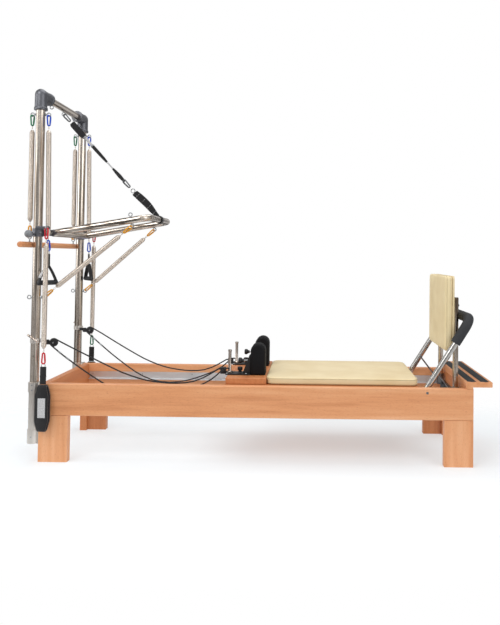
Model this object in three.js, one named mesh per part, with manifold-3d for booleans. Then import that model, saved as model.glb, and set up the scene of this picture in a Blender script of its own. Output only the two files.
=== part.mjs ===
// Pilates tower unit: a wooden reformer bed with a half trapeze tower at its head end.
// Millimetres, +Z up, +X from the tower to the foot end, -Y is the near side.
// Sizes are measured from the middle of the bed. The finished group is then moved so that its
// origin is the centre of its footprint, on the floor.
import * as THREE from 'three';
import { mergeVertices } from 'three/addons/utils/BufferGeometryUtils.js';
import Module from 'manifold-3d';

const wasm = await Module();
wasm.setup();

// Clearances and facet counts
const fit_gap = 0.3;
const run_gap = 0.6;
const overrun = 2;
const weld_gap = 0.0001;
const tube_sides = 12;
const rod_sides = 8;
const ring_steps = 12;
const wire_sides = 4;
const corner_steps = 2;
const bend_steps = 4;

// Wooden frame
const frame_length = 2400;
const frame_width = 690;
const board_thickness = 42;
const rail_height = 174;
const leg_height = 254;
const leg_width = 160;
const leg_return = 67;
const edge_round = 5;

// Aluminium track on each rail
const track_top = 380;
const track_height = 46;
const track_wall = 4;
const track_flange = 30;
const track_end_gap = 8;

// Foot platform
const platform_overhang = 105;
const platform_thickness = 30;
const platform_riser = 10.4;
const platform_riser_width = 38;
const strip_width = 22;
const strip_depth = 1.2;
const strip_count = 3;

// Uprights, their fittings and the crossbar
const upright_standoff = 40;
const upright_radius = 24;
const upright_wall = 6;
const upright_spread = 318;
const upright_foot = 104;
const clamp_wall = 7;
const clamp_plate = 5;
const clamp_plate_width = 50;
const clamp_height = 54;
const clamp_top = 433;
const cup_height = 76;
const cup_floor = 6;
const crossbar_height = 2040;
const crossbar_radius = 21;
const elbow_radius = 33;
const elbow_dome = 36;
const elbow_drop = 85;
const elbow_reach = 105;
const tube_socket = 58;
const crossbar_eye_spread = 175;

// Eyes, snap hooks and tension springs
const eye_radius = 10;
const eye_wire = 3;
const shank_radius = 4;
const link_width = 24;
const link_length = 56;
const link_wire = 7;
const spring_radius = 14;
const spring_core = 4;
const spring_taper = 14;
const arm_eye_drop = 110;
const left_eye_reach = 46;
const right_eye_reach = 60;
const bar_eye_height = 904;
const bar_eye_reach = 40;

// Push-through bar and the brackets that carry it
const push_bar_reach = 60;
const push_bar_height = 1265;
const push_bar_spread = 252;
const push_bar_length = 549;
const push_bar_radius = 20;
const push_bar_bend = 62;
const push_bar_rise = THREE.MathUtils.degToRad(10.2);
const push_bar_eye_share = 0.82;
const pivot_pin_radius = 10;
const bracket_height = 80;
const lug_thickness = 14;
const lug_gap = 3;
const lug_height = 46;
const lug_margin = 24;
const hook_arm_height = 16;
const hook_arm_thickness = 8;
const leg_spring_reach = 72;
const leg_spring_spread = 375;
const leg_spring_eye_rise = 27;
const pull_pin_drop = 9;
const pull_pin_radius = 4;
const pull_pin_knob = 22;
const pull_pin_stem = 7;
const pull_pin_turn = THREE.MathUtils.degToRad(250);

// Roll-down bar, handles and foot cuffs
const dowel_radius = 16;
const dowel_length = 870;
const left_spring_span = 690;
const handle_spring_span = 770;
const handle_turn = THREE.MathUtils.degToRad(60);
const handle_band = 70;
const handle_band_width = 26;
const handle_web = 5;
const handle_drop = 94;
const grip_radius = 14;
const grip_length = 120;
const cuff_eye_height = 540;
const cuff_strap = 100;
const cuff_strap_width = 34;
const cuff_length = 256;
const cuff_width = 82;
const cuff_depth = 38;
const cuff_wall = 12;

// Rope pulleys
const pulley_reach = 90;
const pulley_spread = 285;
const pulley_height = 648;
const pulley_radius = 23;
const pulley_width = 12;
const pulley_groove = 6;
const axle_radius = 4;
const cheek_thickness = 3;
const cheek_radius = 13;
const pulley_block_height = 44;
const stud_radius = 6;
const stud_rise = 30;
const stud_reach = 42;
const rope_radius = 4;

// Safety strap
const strap_thickness = 5;
const strap_width = 40;
const strap_thin_width = 22;
const strap_pad_width = 50;
const strap_pad_thickness = 9;
const strap_pad_share = 0.26;
const strap_thin_share = 0.3;

// Carriage
const carriage_head = -181;
const pad_head = 50;
const pad_foot = 905;
const carriage_half_width = 292;
const base_thickness = 24;
const head_board_thickness = 34;
const pad_thickness = 46;
const pad_corner = 45;
const pad_crown = 5;
const pad_draw = 6;
const wheel_radius = 20;
const wheel_width = 16;
const wheel_axle_radius = 6;
const axle_inset = 130;
const bearing_spread = 200;
const bearing_width = 22;
const bearing_length = 44;
const carriage_spring_spread = 70;
const carriage_spring_length = 470;
const carriage_spring_height = 336;

// Shoulder rests and the rope posts
const rest_spread = 150;
const rest_length = 84;
const rest_width = 112;
const rest_height = 178;
const rest_round = 9;
const rest_end = 36;
const peg_radius = 8;
const peg_depth = 20;
const post_x = -172;
const post_spread = 165;
const post_radius = 9;
const post_height = 140;
const post_flange_radius = 20;
const post_plate_thickness = 8;
const post_plate_width = 84;
const cleat_reach = 54;
const cleat_length = 34;
const cleat_width = 22;
const cleat_height = 38;
const knob_radius = 17;
const knob_length = 26;
const knob_height = 78;
const knob_low_height = 36;

// Jump board
const jump_half_width = 243;
const jump_bottom = 620;
const jump_top = 1048;
const jump_pad_thickness = 44;
const jump_board_thickness = 12;
const jump_corner = 20;
const jump_post_radius = 16;
const jump_post_spread = 205;
const jump_post_foot = 352;
const jump_post_top = 925;
const sleeve_wall = 5;
const sleeve_height = 66;
const sleeve_gap_to_board = 6;
const socket_plate_thickness = 5;
const socket_plate_height = 60;
const spring_hook_reach = 30;

// Footbar
const footbar_x = 945;
const footbar_height = 404;
const footbar_spread = 280;
const footbar_radius = 17;
const footbar_length = 478;
const footbar_lean = THREE.MathUtils.degToRad(58);
const footbar_bend = 62;
const grip_wall = 12;
const grip_start_share = 0.66;
const footbar_bolt_radius = 7;
const strut_spread = 250;
const strut_radius = 5;
const strut_start = 124;
const strut_length = 139;
const strut_drop = THREE.MathUtils.degToRad(-52);

// Ropes: hand chosen points of the near rope, given as X, distance from the middle, Z.
const rope_to_pulley = [
  [-226.7, 165, 490], [-236, 165, 490], [-256, 168, 478], [-288, 173, 459], [-330, 179, 437], [-378, 185, 420],
  [-422, 191, 413], [-467, 197, 411], [-511, 203, 412], [-556, 208, 416], [-600, 214, 422],
  [-645, 220, 431], [-690, 226, 444], [-735, 232, 460], [-780, 238, 478], [-821, 243, 498],
  [-870, 250, 523], [-920, 257, 549], [-970, 264, 576], [-1020, 273, 603], [-1066, 281, 628],
  [-1113.4, 285, 653],
];
const rope_from_pulley = [
  [-1140, 285, 611.5], [-1096, 282, 575], [-1050, 275, 539], [-1000, 267, 501], [-944, 260, 461],
  [-888, 252, 423], [-835, 245, 390], [-780, 239, 362], [-725, 233, 343], [-670, 227, 333],
  [-605, 219, 330], [-545, 214, 336], [-490, 209, 347], [-440, 204, 362], [-395, 200, 378],
  [-350, 198, 396], [-310, 197, 414], [-272, 197, 436], [-245, 196, 458], [-224, 194, 478],
  [-206, 190, 491], [-195, 185.5, 495], [-188.1, 179.1, 496], [-179.1, 171.2, 496],
];
const rope_wrap_start = THREE.MathUtils.degToRad(62);
const rope_wrap_end = THREE.MathUtils.degToRad(230);
const rope_wrap_steps = 10;

// Places worked out from the sizes
const half_length = frame_length / 2;
const arm_eye_height = crossbar_height - arm_eye_drop;
const handle_eye_height = arm_eye_height - handle_spring_span;
const dowel_eye_height = arm_eye_height - left_spring_span;
const dowel_height = dowel_eye_height - dowel_radius - eye_radius - eye_wire - spring_taper;
const leg_spring_eye_height = push_bar_height + leg_spring_eye_rise;
const pull_pin_height = push_bar_height - pull_pin_drop;
const half_width = frame_width / 2;
const rail_bottom = leg_height + fit_gap;
const rail_top = rail_bottom + rail_height;
const inner_half_width = half_width - board_thickness;
const tower_x = -half_length - upright_standoff;
const foot_board_inner = half_length - board_thickness;
const upright_top = crossbar_height - crossbar_radius - fit_gap - overrun * 3;
const clamp_radius = upright_radius + fit_gap + clamp_wall;
const eye_hang = Math.sqrt((eye_radius - eye_wire) ** 2 - (link_wire / 2) ** 2) - link_wire / 2 - run_gap;
const base_top = rail_top + fit_gap;
const deck_bottom = base_top;
const head_board_top = deck_bottom + head_board_thickness;
const flange_top = track_top - track_height + track_wall;
const wheel_height = flange_top + fit_gap + wheel_radius;
const rope_groove_radius = pulley_radius - pulley_groove + rope_radius + run_gap;
const jump_back = foot_board_inner - sleeve_gap_to_board - sleeve_wall - fit_gap - jump_post_radius;
const sides = [['near', -1], ['far', 1]];

// Finishes
const finish = (color, roughness, metalness) => ({ color, roughness, metalness });
const beech = finish(0xe0a070, 0.55, 0);
const steel = finish(0xc9c2b8, 0.25, 1);
const cast_aluminium = finish(0xb9bcbe, 0.45, 1);
const track_aluminium = finish(0xc4c8ca, 0.4, 1);
const spring_wire = finish(0xb5b2ac, 0.3, 1);
const black_foam = finish(0x1d1d1f, 0.9, 0);
const black_plastic = finish(0x161618, 0.5, 0);
const black_webbing = finish(0x18181a, 0.85, 0);
const cream_vinyl = finish(0xe8d9b4, 0.6, 0);
const ply = finish(0xd6a678, 0.65, 0);

// Geometry helpers
const up = new THREE.Vector3(0, 1, 0);

// A closed solid from any closed geometry.
function solid(geometry) {
  const bare = new THREE.BufferGeometry();
  bare.setAttribute('position', geometry.getAttribute('position'));
  if (geometry.index) bare.setIndex(geometry.index);
  const merged = mergeVertices(bare, weld_gap);
  const from = merged.index.array;
  const kept = [];
  for (let i = 0; i < from.length; i += 3) {
    const [a, b, c] = [from[i], from[i + 1], from[i + 2]];
    if (a !== b && b !== c && c !== a) kept.push(a, b, c);
  }
  const vertProperties = new Float32Array(merged.getAttribute('position').array);
  return new wasm.Manifold(new wasm.Mesh({ numProp: 3, vertProperties, triVerts: new Uint32Array(kept) }));
}

function join(...pieces) {
  return pieces.flat().reduce((whole, piece) => whole.add(piece));
}

function cut(whole, ...tools) {
  return tools.flat().reduce((left, tool) => left.subtract(tool), whole);
}

function block(size, centre) {
  return solid(new THREE.BoxGeometry(...size).translate(...centre));
}

// A round bar between two points.
function rod(radius, from, to, count = rod_sides, end_radius = radius) {
  const start = new THREE.Vector3(...from);
  const run = new THREE.Vector3(...to).sub(start);
  const middle = start.clone().addScaledVector(run, 0.5);
  const bar = new THREE.CylinderGeometry(end_radius, radius, run.length(), count);
  bar.applyQuaternion(new THREE.Quaternion().setFromUnitVectors(up, run.clone().normalize()));
  return solid(bar.translate(...middle.toArray()));
}

// A turned piece about Z from an outline of radius and height, bottom to top.
function turned(outline, count = tube_sides) {
  const points = outline.map(([radius, height]) => new THREE.Vector2(radius, height));
  return new THREE.LatheGeometry(points, count).rotateX(Math.PI / 2);
}

// A ring of rectangular section about Z.
function sleeve(inner, outer, bottom, top, count = tube_sides) {
  return solid(turned([[outer, bottom], [outer, top], [inner, top], [inner, bottom], [outer, bottom]], count));
}

// A wire eye lying in the plane across the named axis.
function eye(centre, across) {
  const ring = new THREE.TorusGeometry(eye_radius, eye_wire, wire_sides, ring_steps);
  if (across === 'x') ring.rotateY(Math.PI / 2);
  if (across === 'y') ring.rotateX(Math.PI / 2);
  return solid(ring.translate(...centre));
}

function rounded_rectangle(width, height, round) {
  const [w, h] = [width / 2, height / 2];
  const shape = new THREE.Shape();
  shape.absarc(w - round, h - round, round, 0, Math.PI / 2, false);
  shape.absarc(-w + round, h - round, round, Math.PI / 2, Math.PI, false);
  shape.absarc(-w + round, -h + round, round, Math.PI, Math.PI * 1.5, false);
  shape.absarc(w - round, -h + round, round, Math.PI * 1.5, Math.PI * 2, false);
  return shape;
}

// An outline pushed along +Z and centred on it, with an optional rolled edge.
function pushed(shape, depth, roll = 0, steps = corner_steps) {
  const options = { depth: depth - roll * 2, curveSegments: steps, bevelEnabled: roll > 0 };
  if (roll > 0) {
    options.bevelSize = roll;
    options.bevelOffset = -roll;
    options.bevelThickness = roll;
    options.bevelSegments = 1;
  }
  return new THREE.ExtrudeGeometry(shape, options).translate(0, 0, -depth / 2 + roll);
}

// Turn an outline drawn across and up so that it is pushed along X or Y.
const to_x = new THREE.Matrix4().makeBasis(
  new THREE.Vector3(0, 1, 0), new THREE.Vector3(0, 0, 1), new THREE.Vector3(1, 0, 0));

function along_x(geometry) {
  return geometry.applyMatrix4(to_x);
}

function along_y(geometry) {
  return geometry.rotateX(Math.PI / 2);
}

// A route through points, with one section at each of them.
class Route extends THREE.Curve {
  constructor(points) {
    super();
    this.points = points.map((point) => new THREE.Vector3(...point));
  }

  getPoint(share, target = new THREE.Vector3()) {
    const last = this.points.length - 1;
    const place = Math.min(Math.max(share, 0), 1) * last;
    const index = Math.min(Math.floor(place), last - 1);
    return target.lerpVectors(this.points[index], this.points[index + 1], place - index);
  }

  getPointAt(share, target) {
    return this.getPoint(share, target);
  }

  getTangentAt(share, target = new THREE.Vector3()) {
    const last = this.points.length - 1;
    const index = Math.round(share * last);
    const before = this.points[Math.max(index - 1, 0)];
    const after = this.points[Math.min(index + 1, last)];
    return target.copy(after).sub(before).normalize();
  }
}

// Corner points with each inner corner turned into an arc.
function bent(corners, bend) {
  const points = corners.map((corner) => new THREE.Vector3(...corner));
  const route = [points[0].toArray()];
  for (let i = 1; i < points.length - 1; i += 1) {
    const back = points[i - 1].clone().sub(points[i]).normalize();
    const ahead = points[i + 1].clone().sub(points[i]).normalize();
    const half = back.angleTo(ahead) / 2;
    const centre_way = back.clone().add(ahead).normalize();
    const centre = points[i].clone().addScaledVector(centre_way, bend / Math.sin(half));
    const start = points[i].clone().addScaledVector(back, bend / Math.tan(half)).sub(centre);
    const axis = start.clone().cross(points[i].clone().sub(centre)).normalize();
    for (let step = 0; step <= bend_steps; step += 1) {
      const angle = (Math.PI - half * 2) * step / bend_steps;
      route.push(start.clone().applyAxisAngle(axis, angle).add(centre).toArray());
    }
  }
  route.push(points[points.length - 1].toArray());
  return route;
}

// A round tube or rope along a route.
function swept(route, radius, count) {
  const section = new THREE.Shape();
  for (let i = 0; i < count; i += 1) {
    const angle = Math.PI * 2 * i / count;
    const [x, y] = [radius * Math.cos(angle), radius * Math.sin(angle)];
    if (i === 0) section.moveTo(x, y);
    else section.lineTo(x, y);
  }
  const path = new Route(route);
  return new THREE.ExtrudeGeometry(section, { steps: route.length - 1, bevelEnabled: false, extrudePath: path });
}

// A stuffed pad: sides drawn in towards top and bottom, a crown on top and round plan corners.
function cushion(length, width, height, corner, crown, draw, counts) {
  const pad = new THREE.BoxGeometry(2, 2, 2, ...counts);
  const place = pad.getAttribute('position');
  for (let i = 0; i < place.count; i += 1) {
    const [u, v, w] = [place.getX(i), place.getY(i), place.getZ(i)];
    const inset = draw * Math.abs(w) ** 3;
    let x = (length / 2 - inset) * Math.sin(u * Math.PI / 2);
    let y = (width / 2 - inset) * Math.sin(v * Math.PI / 2);
    const [over_x, over_y] = [Math.abs(x) - length / 2 + corner, Math.abs(y) - width / 2 + corner];
    const reach = Math.hypot(over_x, over_y);
    if (over_x > 0 && over_y > 0 && reach > corner - inset) {
      x = Math.sign(x) * (length / 2 - corner + over_x / reach * (corner - inset));
      y = Math.sign(y) * (width / 2 - corner + over_y / reach * (corner - inset));
    }
    const fall = (1 - u ** 4) * (1 - v ** 4);
    const top = height / 2 - crown + crown * fall;
    place.setXYZ(i, x, y, w > 0 ? top * w : (height / 2) * w);
  }
  return pad;
}

// The unit and its parts
const unit = new THREE.Group();
const frame = new THREE.Group();
const tower = new THREE.Group();
const push_bar = new THREE.Group();
const carriage = new THREE.Group();
const foot_end = new THREE.Group();
const footbar = new THREE.Group();
tower.position.set(tower_x, 0, 0);
push_bar.position.set(push_bar_reach, 0, push_bar_height);
push_bar.rotation.y = -push_bar_rise;
footbar.position.set(footbar_x, 0, footbar_height);
footbar.rotation.y = -footbar_lean;
unit.add(frame, tower, carriage, foot_end, footbar);
tower.add(push_bar);

function part(group, name, shape, look, place = [0, 0, 0]) {
  let geometry = shape;
  if (!shape.isBufferGeometry) {
    const made = shape.getMesh();
    geometry = new THREE.BufferGeometry();
    geometry.setAttribute('position', new THREE.BufferAttribute(new Float32Array(made.vertProperties), 3));
    geometry.setIndex(Array.from(made.triVerts));
  }
  geometry.computeVertexNormals();
  const mesh = new THREE.Mesh(geometry, new THREE.MeshStandardMaterial(look));
  mesh.name = name;
  mesh.position.set(...place);
  group.add(mesh);
  return mesh;
}

// Wooden frame
function side_rail(name, side) {
  const profile = rounded_rectangle(board_thickness, rail_height, edge_round);
  const board = solid(along_x(pushed(profile, frame_length)));
  const bolt_z = footbar_height - rail_bottom - rail_height / 2;
  const reach = board_thickness / 2 + overrun;
  const bore = footbar_bolt_radius + fit_gap;
  const bolt_hole = rod(bore, [footbar_x, -reach, bolt_z], [footbar_x, reach, bolt_z], tube_sides);
  const place = [0, side * (half_width - board_thickness / 2), rail_bottom + rail_height / 2];
  part(frame, name, cut(board, bolt_hole), beech, place);
}

function end_board(name, x) {
  const profile = rounded_rectangle(board_thickness, rail_height, edge_round);
  const board = along_y(pushed(profile, (inner_half_width - fit_gap) * 2));
  part(frame, name, solid(board), beech, [x, 0, rail_bottom + rail_height / 2]);
}

// Two boards glued as an L: the wide one lines up with the rail, the other with the end board.
function leg(name, end, side) {
  const outline = new THREE.Shape([
    [0, 0], [leg_width, 0], [leg_width, board_thickness], [board_thickness, board_thickness],
    [board_thickness, leg_return], [0, leg_return],
  ].map(([x, y]) => new THREE.Vector2(-end * x, -side * y)));
  const shape = new THREE.ExtrudeGeometry(outline, { depth: leg_height, bevelEnabled: false });
  part(frame, name, solid(shape), beech, [end * half_length, side * half_width, 0]);
}

function track(name, side) {
  const wall_y = inner_half_width - fit_gap;
  const bottom = track_top - track_height;
  const outline = new THREE.Shape([
    [wall_y, bottom], [wall_y, track_top], [wall_y - track_wall, track_top],
    [wall_y - track_wall, bottom + track_wall], [wall_y - track_flange, bottom + track_wall],
    [wall_y - track_flange, bottom],
  ].map(([y, z]) => new THREE.Vector2(side * y, z)));
  const length = frame_length - (board_thickness + track_end_gap) * 2;
  part(frame, name, solid(along_x(pushed(outline, length))), track_aluminium);
}

function foot_platform() {
  const depth = platform_overhang + board_thickness;
  const slab = rounded_rectangle(depth, platform_thickness, edge_round);
  const bottom = rail_top + platform_riser;
  const centre_x = foot_board_inner + depth / 2;
  const top = solid(along_y(pushed(slab, frame_width)).translate(centre_x, 0, bottom + platform_thickness / 2));
  const riser_height = platform_riser - fit_gap + overrun;
  const riser = block([platform_riser_width, frame_width, riser_height],
    [foot_board_inner + board_thickness / 2, 0, rail_top + fit_gap + riser_height / 2]);
  const pitch = depth / (strip_count + 1);
  const grooves = [];
  for (let i = 1; i <= strip_count; i += 1) {
    grooves.push(block([strip_width, frame_width + overrun * 2, strip_depth * 2],
      [foot_board_inner + pitch * i, 0, bottom + platform_thickness]));
  }
  part(frame, 'foot_platform', cut(join(top, riser), grooves), beech);
}

for (const [name, side] of sides) {
  side_rail(`side_rail_${name}`, side);
  leg(`leg_tower_${name}`, -1, side);
  leg(`leg_foot_${name}`, 1, side);
  track(`track_${name}`, side);
}
end_board('end_board_tower', -half_length + board_thickness / 2);
end_board('end_board_foot', half_length - board_thickness / 2);
foot_platform();

// Tower: everything here is placed from the line of the uprights.
function upright(name, side) {
  const bore = upright_radius - upright_wall;
  const tube = sleeve(bore, upright_radius, upright_foot, upright_top);
  const left = -left_eye_reach;
  const right = right_eye_reach;
  const bolt = rod(shank_radius, [left + eye_radius, 0, arm_eye_height], [right - eye_radius, 0, arm_eye_height]);
  const low = bar_eye_reach;
  const low_bolt = rod(shank_radius, [-low + eye_radius, 0, bar_eye_height], [low - eye_radius, 0, bar_eye_height]);
  const eyes = [
    eye([left, 0, arm_eye_height], 'y'), eye([right, 0, arm_eye_height], 'y'),
    eye([-low, 0, bar_eye_height], 'y'), eye([low, 0, bar_eye_height], 'y'),
  ];
  part(tower, name, join(tube, bolt, low_bolt, eyes), steel, [0, side * upright_spread, 0]);
}

// Upper collar and lower cup on one back plate that is screwed to the end of the frame.
function upright_clamp(name, side) {
  const bore = upright_radius + fit_gap;
  const cup_bottom = upright_foot - fit_gap - cup_floor;
  const collar_bottom = clamp_top - clamp_height;
  const plate_x = upright_standoff - fit_gap - clamp_plate / 2;
  const plate = block([clamp_plate, clamp_plate_width, clamp_top - cup_bottom],
    [plate_x, 0, (clamp_top + cup_bottom) / 2]);
  const collar = sleeve(bore - overrun, clamp_radius, collar_bottom, clamp_top);
  const cup = rod(clamp_radius, [0, 0, cup_bottom], [0, 0, cup_bottom + cup_height], tube_sides);
  const neck_y = clamp_radius;
  const neck_x = upright_standoff - fit_gap;
  const necks = [
    block([neck_x, neck_y, clamp_height], [neck_x / 2, 0, collar_bottom + clamp_height / 2]),
    block([neck_x, neck_y, cup_height], [neck_x / 2, 0, cup_bottom + cup_height / 2]),
  ];
  const room = rod(bore, [0, 0, upright_foot - fit_gap], [0, 0, clamp_top + overrun], tube_sides);
  part(tower, name, cut(join(plate, collar, cup, necks), room), cast_aluminium, [0, side * upright_spread, 0]);
}

// Cast elbow with a domed corner and two sockets.
function top_elbow(name, side) {
  const down = rod(elbow_radius, [0, 0, -elbow_drop], [0, 0, 0], tube_sides);
  const across = rod(elbow_radius, [0, 0, 0], [0, -side * elbow_reach, 0], tube_sides);
  const dome = solid(new THREE.SphereGeometry(elbow_dome, tube_sides, rod_sides).rotateX(Math.PI / 2));
  const lip = elbow_radius + clamp_wall / 2;
  const lips = [
    rod(lip, [0, 0, -elbow_drop], [0, 0, -elbow_drop + clamp_wall * 2], tube_sides),
    rod(lip, [0, -side * elbow_reach, 0], [0, -side * (elbow_reach - clamp_wall * 2), 0], tube_sides),
  ];
  const post_top = upright_top + fit_gap - crossbar_height;
  const post_bore = rod(upright_radius + fit_gap, [0, 0, -elbow_drop - overrun], [0, 0, post_top], tube_sides);
  const bar_start = elbow_reach - tube_socket - fit_gap;
  const bar_bore = rod(crossbar_radius + fit_gap, [0, -side * bar_start, 0],
    [0, -side * (elbow_reach + overrun), 0], tube_sides);
  const body = cut(join(down, across, dome, lips), post_bore, bar_bore);
  part(tower, name, body, cast_aluminium, [0, side * upright_spread, crossbar_height]);
}

function crossbar() {
  const end = upright_spread - elbow_reach + tube_socket;
  const inner = crossbar_radius - upright_wall;
  const tube = solid(turned([[crossbar_radius, -end], [crossbar_radius, end], [inner, end], [inner, -end],
    [crossbar_radius, -end]]).rotateX(Math.PI / 2));
  const eyes = [];
  for (const place of [-crossbar_eye_spread, 0, crossbar_eye_spread]) {
    const drop = crossbar_radius + eye_radius + eye_wire;
    eyes.push(rod(shank_radius, [0, place, crossbar_radius], [0, place, -drop + eye_radius]));
    eyes.push(eye([0, place, -drop], 'y'));
  }
  part(tower, 'crossbar', join(tube, eyes), steel, [0, 0, crossbar_height]);
}

// Sliding bracket: a collar on the upright, the lug for the bar's pivot and the arm for the leg spring.
function push_bar_bracket(name, side) {
  const bore = upright_radius + fit_gap;
  const low = push_bar_height - bracket_height / 2;
  const collar = sleeve(bore - overrun, clamp_radius, low, low + bracket_height);
  const lug_y = push_bar_spread + push_bar_radius + lug_gap + lug_thickness / 2;
  const lug_end = push_bar_reach + lug_margin;
  const inward = -side * (upright_spread - lug_y);
  const lug = block([lug_end, lug_thickness, lug_height], [lug_end / 2, inward, push_bar_height]);
  const pin_hole = rod(pivot_pin_radius + run_gap, [push_bar_reach, inward - lug_thickness, push_bar_height],
    [push_bar_reach, inward + lug_thickness, push_bar_height], tube_sides);
  const arm_y = side * (clamp_radius + hook_arm_thickness / 2 - overrun);
  const arm_end = leg_spring_reach + hook_arm_height / 2;
  const arm = block([arm_end, hook_arm_thickness, hook_arm_height],
    [arm_end / 2, arm_y, leg_spring_eye_height]);
  const eye_y = side * (leg_spring_spread - upright_spread);
  const shank_end = eye_y - side * eye_radius;
  const shank = rod(shank_radius, [leg_spring_reach, arm_y, leg_spring_eye_height],
    [leg_spring_reach, shank_end, leg_spring_eye_height]);
  const ring = eye([leg_spring_reach, eye_y, leg_spring_eye_height], 'x');
  const room = rod(bore, [0, 0, low - overrun], [0, 0, low + bracket_height + overrun], tube_sides);
  const pieces = [collar, lug, arm, shank, ring];
  const tools = [room, pin_hole];
  if (side < 0) {
    const way = [Math.cos(pull_pin_turn), Math.sin(pull_pin_turn)];
    const at = (reach) => [way[0] * reach, way[1] * reach, pull_pin_height];
    pieces.push(rod(pull_pin_stem + clamp_wall / 2, at(upright_radius), at(clamp_radius + clamp_wall)));
    tools.push(rod(pull_pin_radius + fit_gap, at(0), at(clamp_radius + clamp_wall * 2), tube_sides));
  }
  part(tower, name, cut(join(pieces), tools), cast_aluminium, [0, side * upright_spread, 0]);
}

// Ball knob on a locking pin that reaches up to the tube.
function pull_pin() {
  const way = new THREE.Vector3(Math.cos(pull_pin_turn), Math.sin(pull_pin_turn), 0);
  const at = (reach) => way.clone().multiplyScalar(reach).toArray();
  const boss_end = clamp_radius + clamp_wall;
  const neck_start = boss_end + fit_gap;
  const neck_end = neck_start + pull_pin_stem;
  const pin = rod(pull_pin_radius, at(upright_radius + run_gap), at(neck_end + pull_pin_knob));
  const neck = rod(pull_pin_stem + fit_gap * 2, at(neck_start), at(neck_end + pull_pin_stem));
  const ball = solid(new THREE.SphereGeometry(pull_pin_knob, rod_sides, rod_sides - 2)
    .translate(...at(neck_end + pull_pin_knob)));
  part(tower, 'pull_pin', join(pin, neck, ball), black_plastic, [0, -upright_spread, pull_pin_height]);
}

// Collar with a fork, its axle and a threaded stud on the outside.
function pulley_bracket(name, side) {
  const bore = upright_radius + fit_gap;
  const collar = sleeve(bore - overrun, clamp_radius, pulley_height, pulley_height + pulley_block_height);
  const inward = -side * (upright_spread - pulley_spread);
  const cheek_y = pulley_width / 2 + run_gap + cheek_thickness / 2;
  const block_end = pulley_reach - pulley_radius - rope_radius - run_gap;
  const block_width = cheek_y * 2 + cheek_thickness;
  const pieces = [collar, block([block_end, block_width, pulley_block_height],
    [block_end / 2, inward, pulley_height + pulley_block_height / 2])];
  for (const way of [-1, 1]) {
    const y = inward + way * cheek_y;
    const outer = y + way * cheek_thickness / 2;
    const inner = y - way * cheek_thickness / 2;
    pieces.push(rod(cheek_radius, [pulley_reach, outer, pulley_height], [pulley_reach, inner, pulley_height], tube_sides));
    pieces.push(block([pulley_reach - block_end / 2, cheek_thickness, cheek_radius],
      [(pulley_reach + block_end / 2) / 2, y, pulley_height + cheek_radius / 2]));
  }
  pieces.push(rod(axle_radius, [pulley_reach, inward - cheek_y, pulley_height],
    [pulley_reach, inward + cheek_y, pulley_height]));
  const stud_y = side * (clamp_radius + stud_radius / 2);
  const stud_z = pulley_height + pulley_block_height / 2;
  pieces.push(rod(stud_radius, [-stud_reach, stud_y, stud_z + stud_rise], [stud_radius, stud_y, stud_z]));
  const room = rod(bore, [0, 0, pulley_height - overrun],
    [0, 0, pulley_height + pulley_block_height + overrun], tube_sides);
  part(tower, name, cut(join(pieces), room), cast_aluminium, [0, side * upright_spread, 0]);
}

function pulley(name, side) {
  const half = pulley_width / 2;
  const bore = axle_radius + fit_gap;
  const groove_half = rope_radius + run_gap;
  const groove_radius = pulley_radius - pulley_groove;
  const wheel = turned([
    [bore, -half], [pulley_radius, -half], [pulley_radius, -groove_half], [groove_radius, -groove_half],
    [groove_radius, groove_half], [pulley_radius, groove_half], [pulley_radius, half],
    [bore, half], [bore, -half],
  ]).rotateX(Math.PI / 2);
  part(tower, name, solid(wheel), black_plastic, [pulley_reach, side * pulley_spread, pulley_height]);
}

// Snap hook as an oblong link of rounded bar, from 0 along +Z.
function snap_link() {
  const outer = rounded_rectangle(link_width, link_length + link_wire, link_width / 2);
  const inner = link_width - link_wire * 2;
  outer.holes.push(rounded_rectangle(inner, link_length - link_wire, inner / 2));
  const plate = pushed(outer, link_wire, 0, 1);
  return plate.rotateX(Math.PI / 2).translate(0, 0, link_length / 2);
}

// A tension spring with a snap hook on each end, hung from the eye at start down to the eye at end.
function tension_spring(group, name, start, end, head, tail, turn = 0) {
  const from = new THREE.Vector3(...start);
  const way = new THREE.Vector3(...end).sub(from);
  const span = way.length() - eye_hang * 2;
  way.normalize();
  const hook_bottom = link_length - link_wire / 2;
  const coil = solid(turned([
    [0, hook_bottom - overrun], [spring_core, hook_bottom - overrun], [spring_core, head],
    [spring_radius, head + spring_taper], [spring_radius, span - tail - spring_taper],
    [spring_core, span - tail], [spring_core, span - hook_bottom + overrun],
    [0, span - hook_bottom + overrun],
  ], rod_sides));
  const links = [snap_link(), snap_link().translate(0, 0, span - link_length)].map(solid);
  const whole = join(coil, links);
  const mesh = part(group, name, whole, spring_wire, from.addScaledVector(way, eye_hang).toArray());
  const spin = new THREE.Quaternion().setFromAxisAngle(new THREE.Vector3(0, 0, 1), turn);
  mesh.quaternion.setFromUnitVectors(new THREE.Vector3(0, 0, 1), way).multiply(spin);
  return mesh;
}

// Dowel with an eye screw over each end, carried by the two left springs.

function roll_down_bar() {
  const half = dowel_length / 2;
  const chamfer = dowel_radius / 4;
  const dowel = solid(turned([
    [0, -half], [dowel_radius - chamfer, -half], [dowel_radius, -half + chamfer],
    [dowel_radius, half - chamfer], [dowel_radius - chamfer, half], [0, half],
  ]).rotateX(Math.PI / 2));
  const screws = sides.map(([, side]) => {
    const y = side * upright_spread;
    const rise = dowel_eye_height - dowel_height;
    return join(rod(shank_radius, [0, y, 0], [0, y, rise - eye_radius]), eye([0, y, rise], 'y'));
  });
  part(tower, 'roll_down_bar', join(dowel, screws), beech, [-left_eye_reach, 0, dowel_height]);
}

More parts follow.
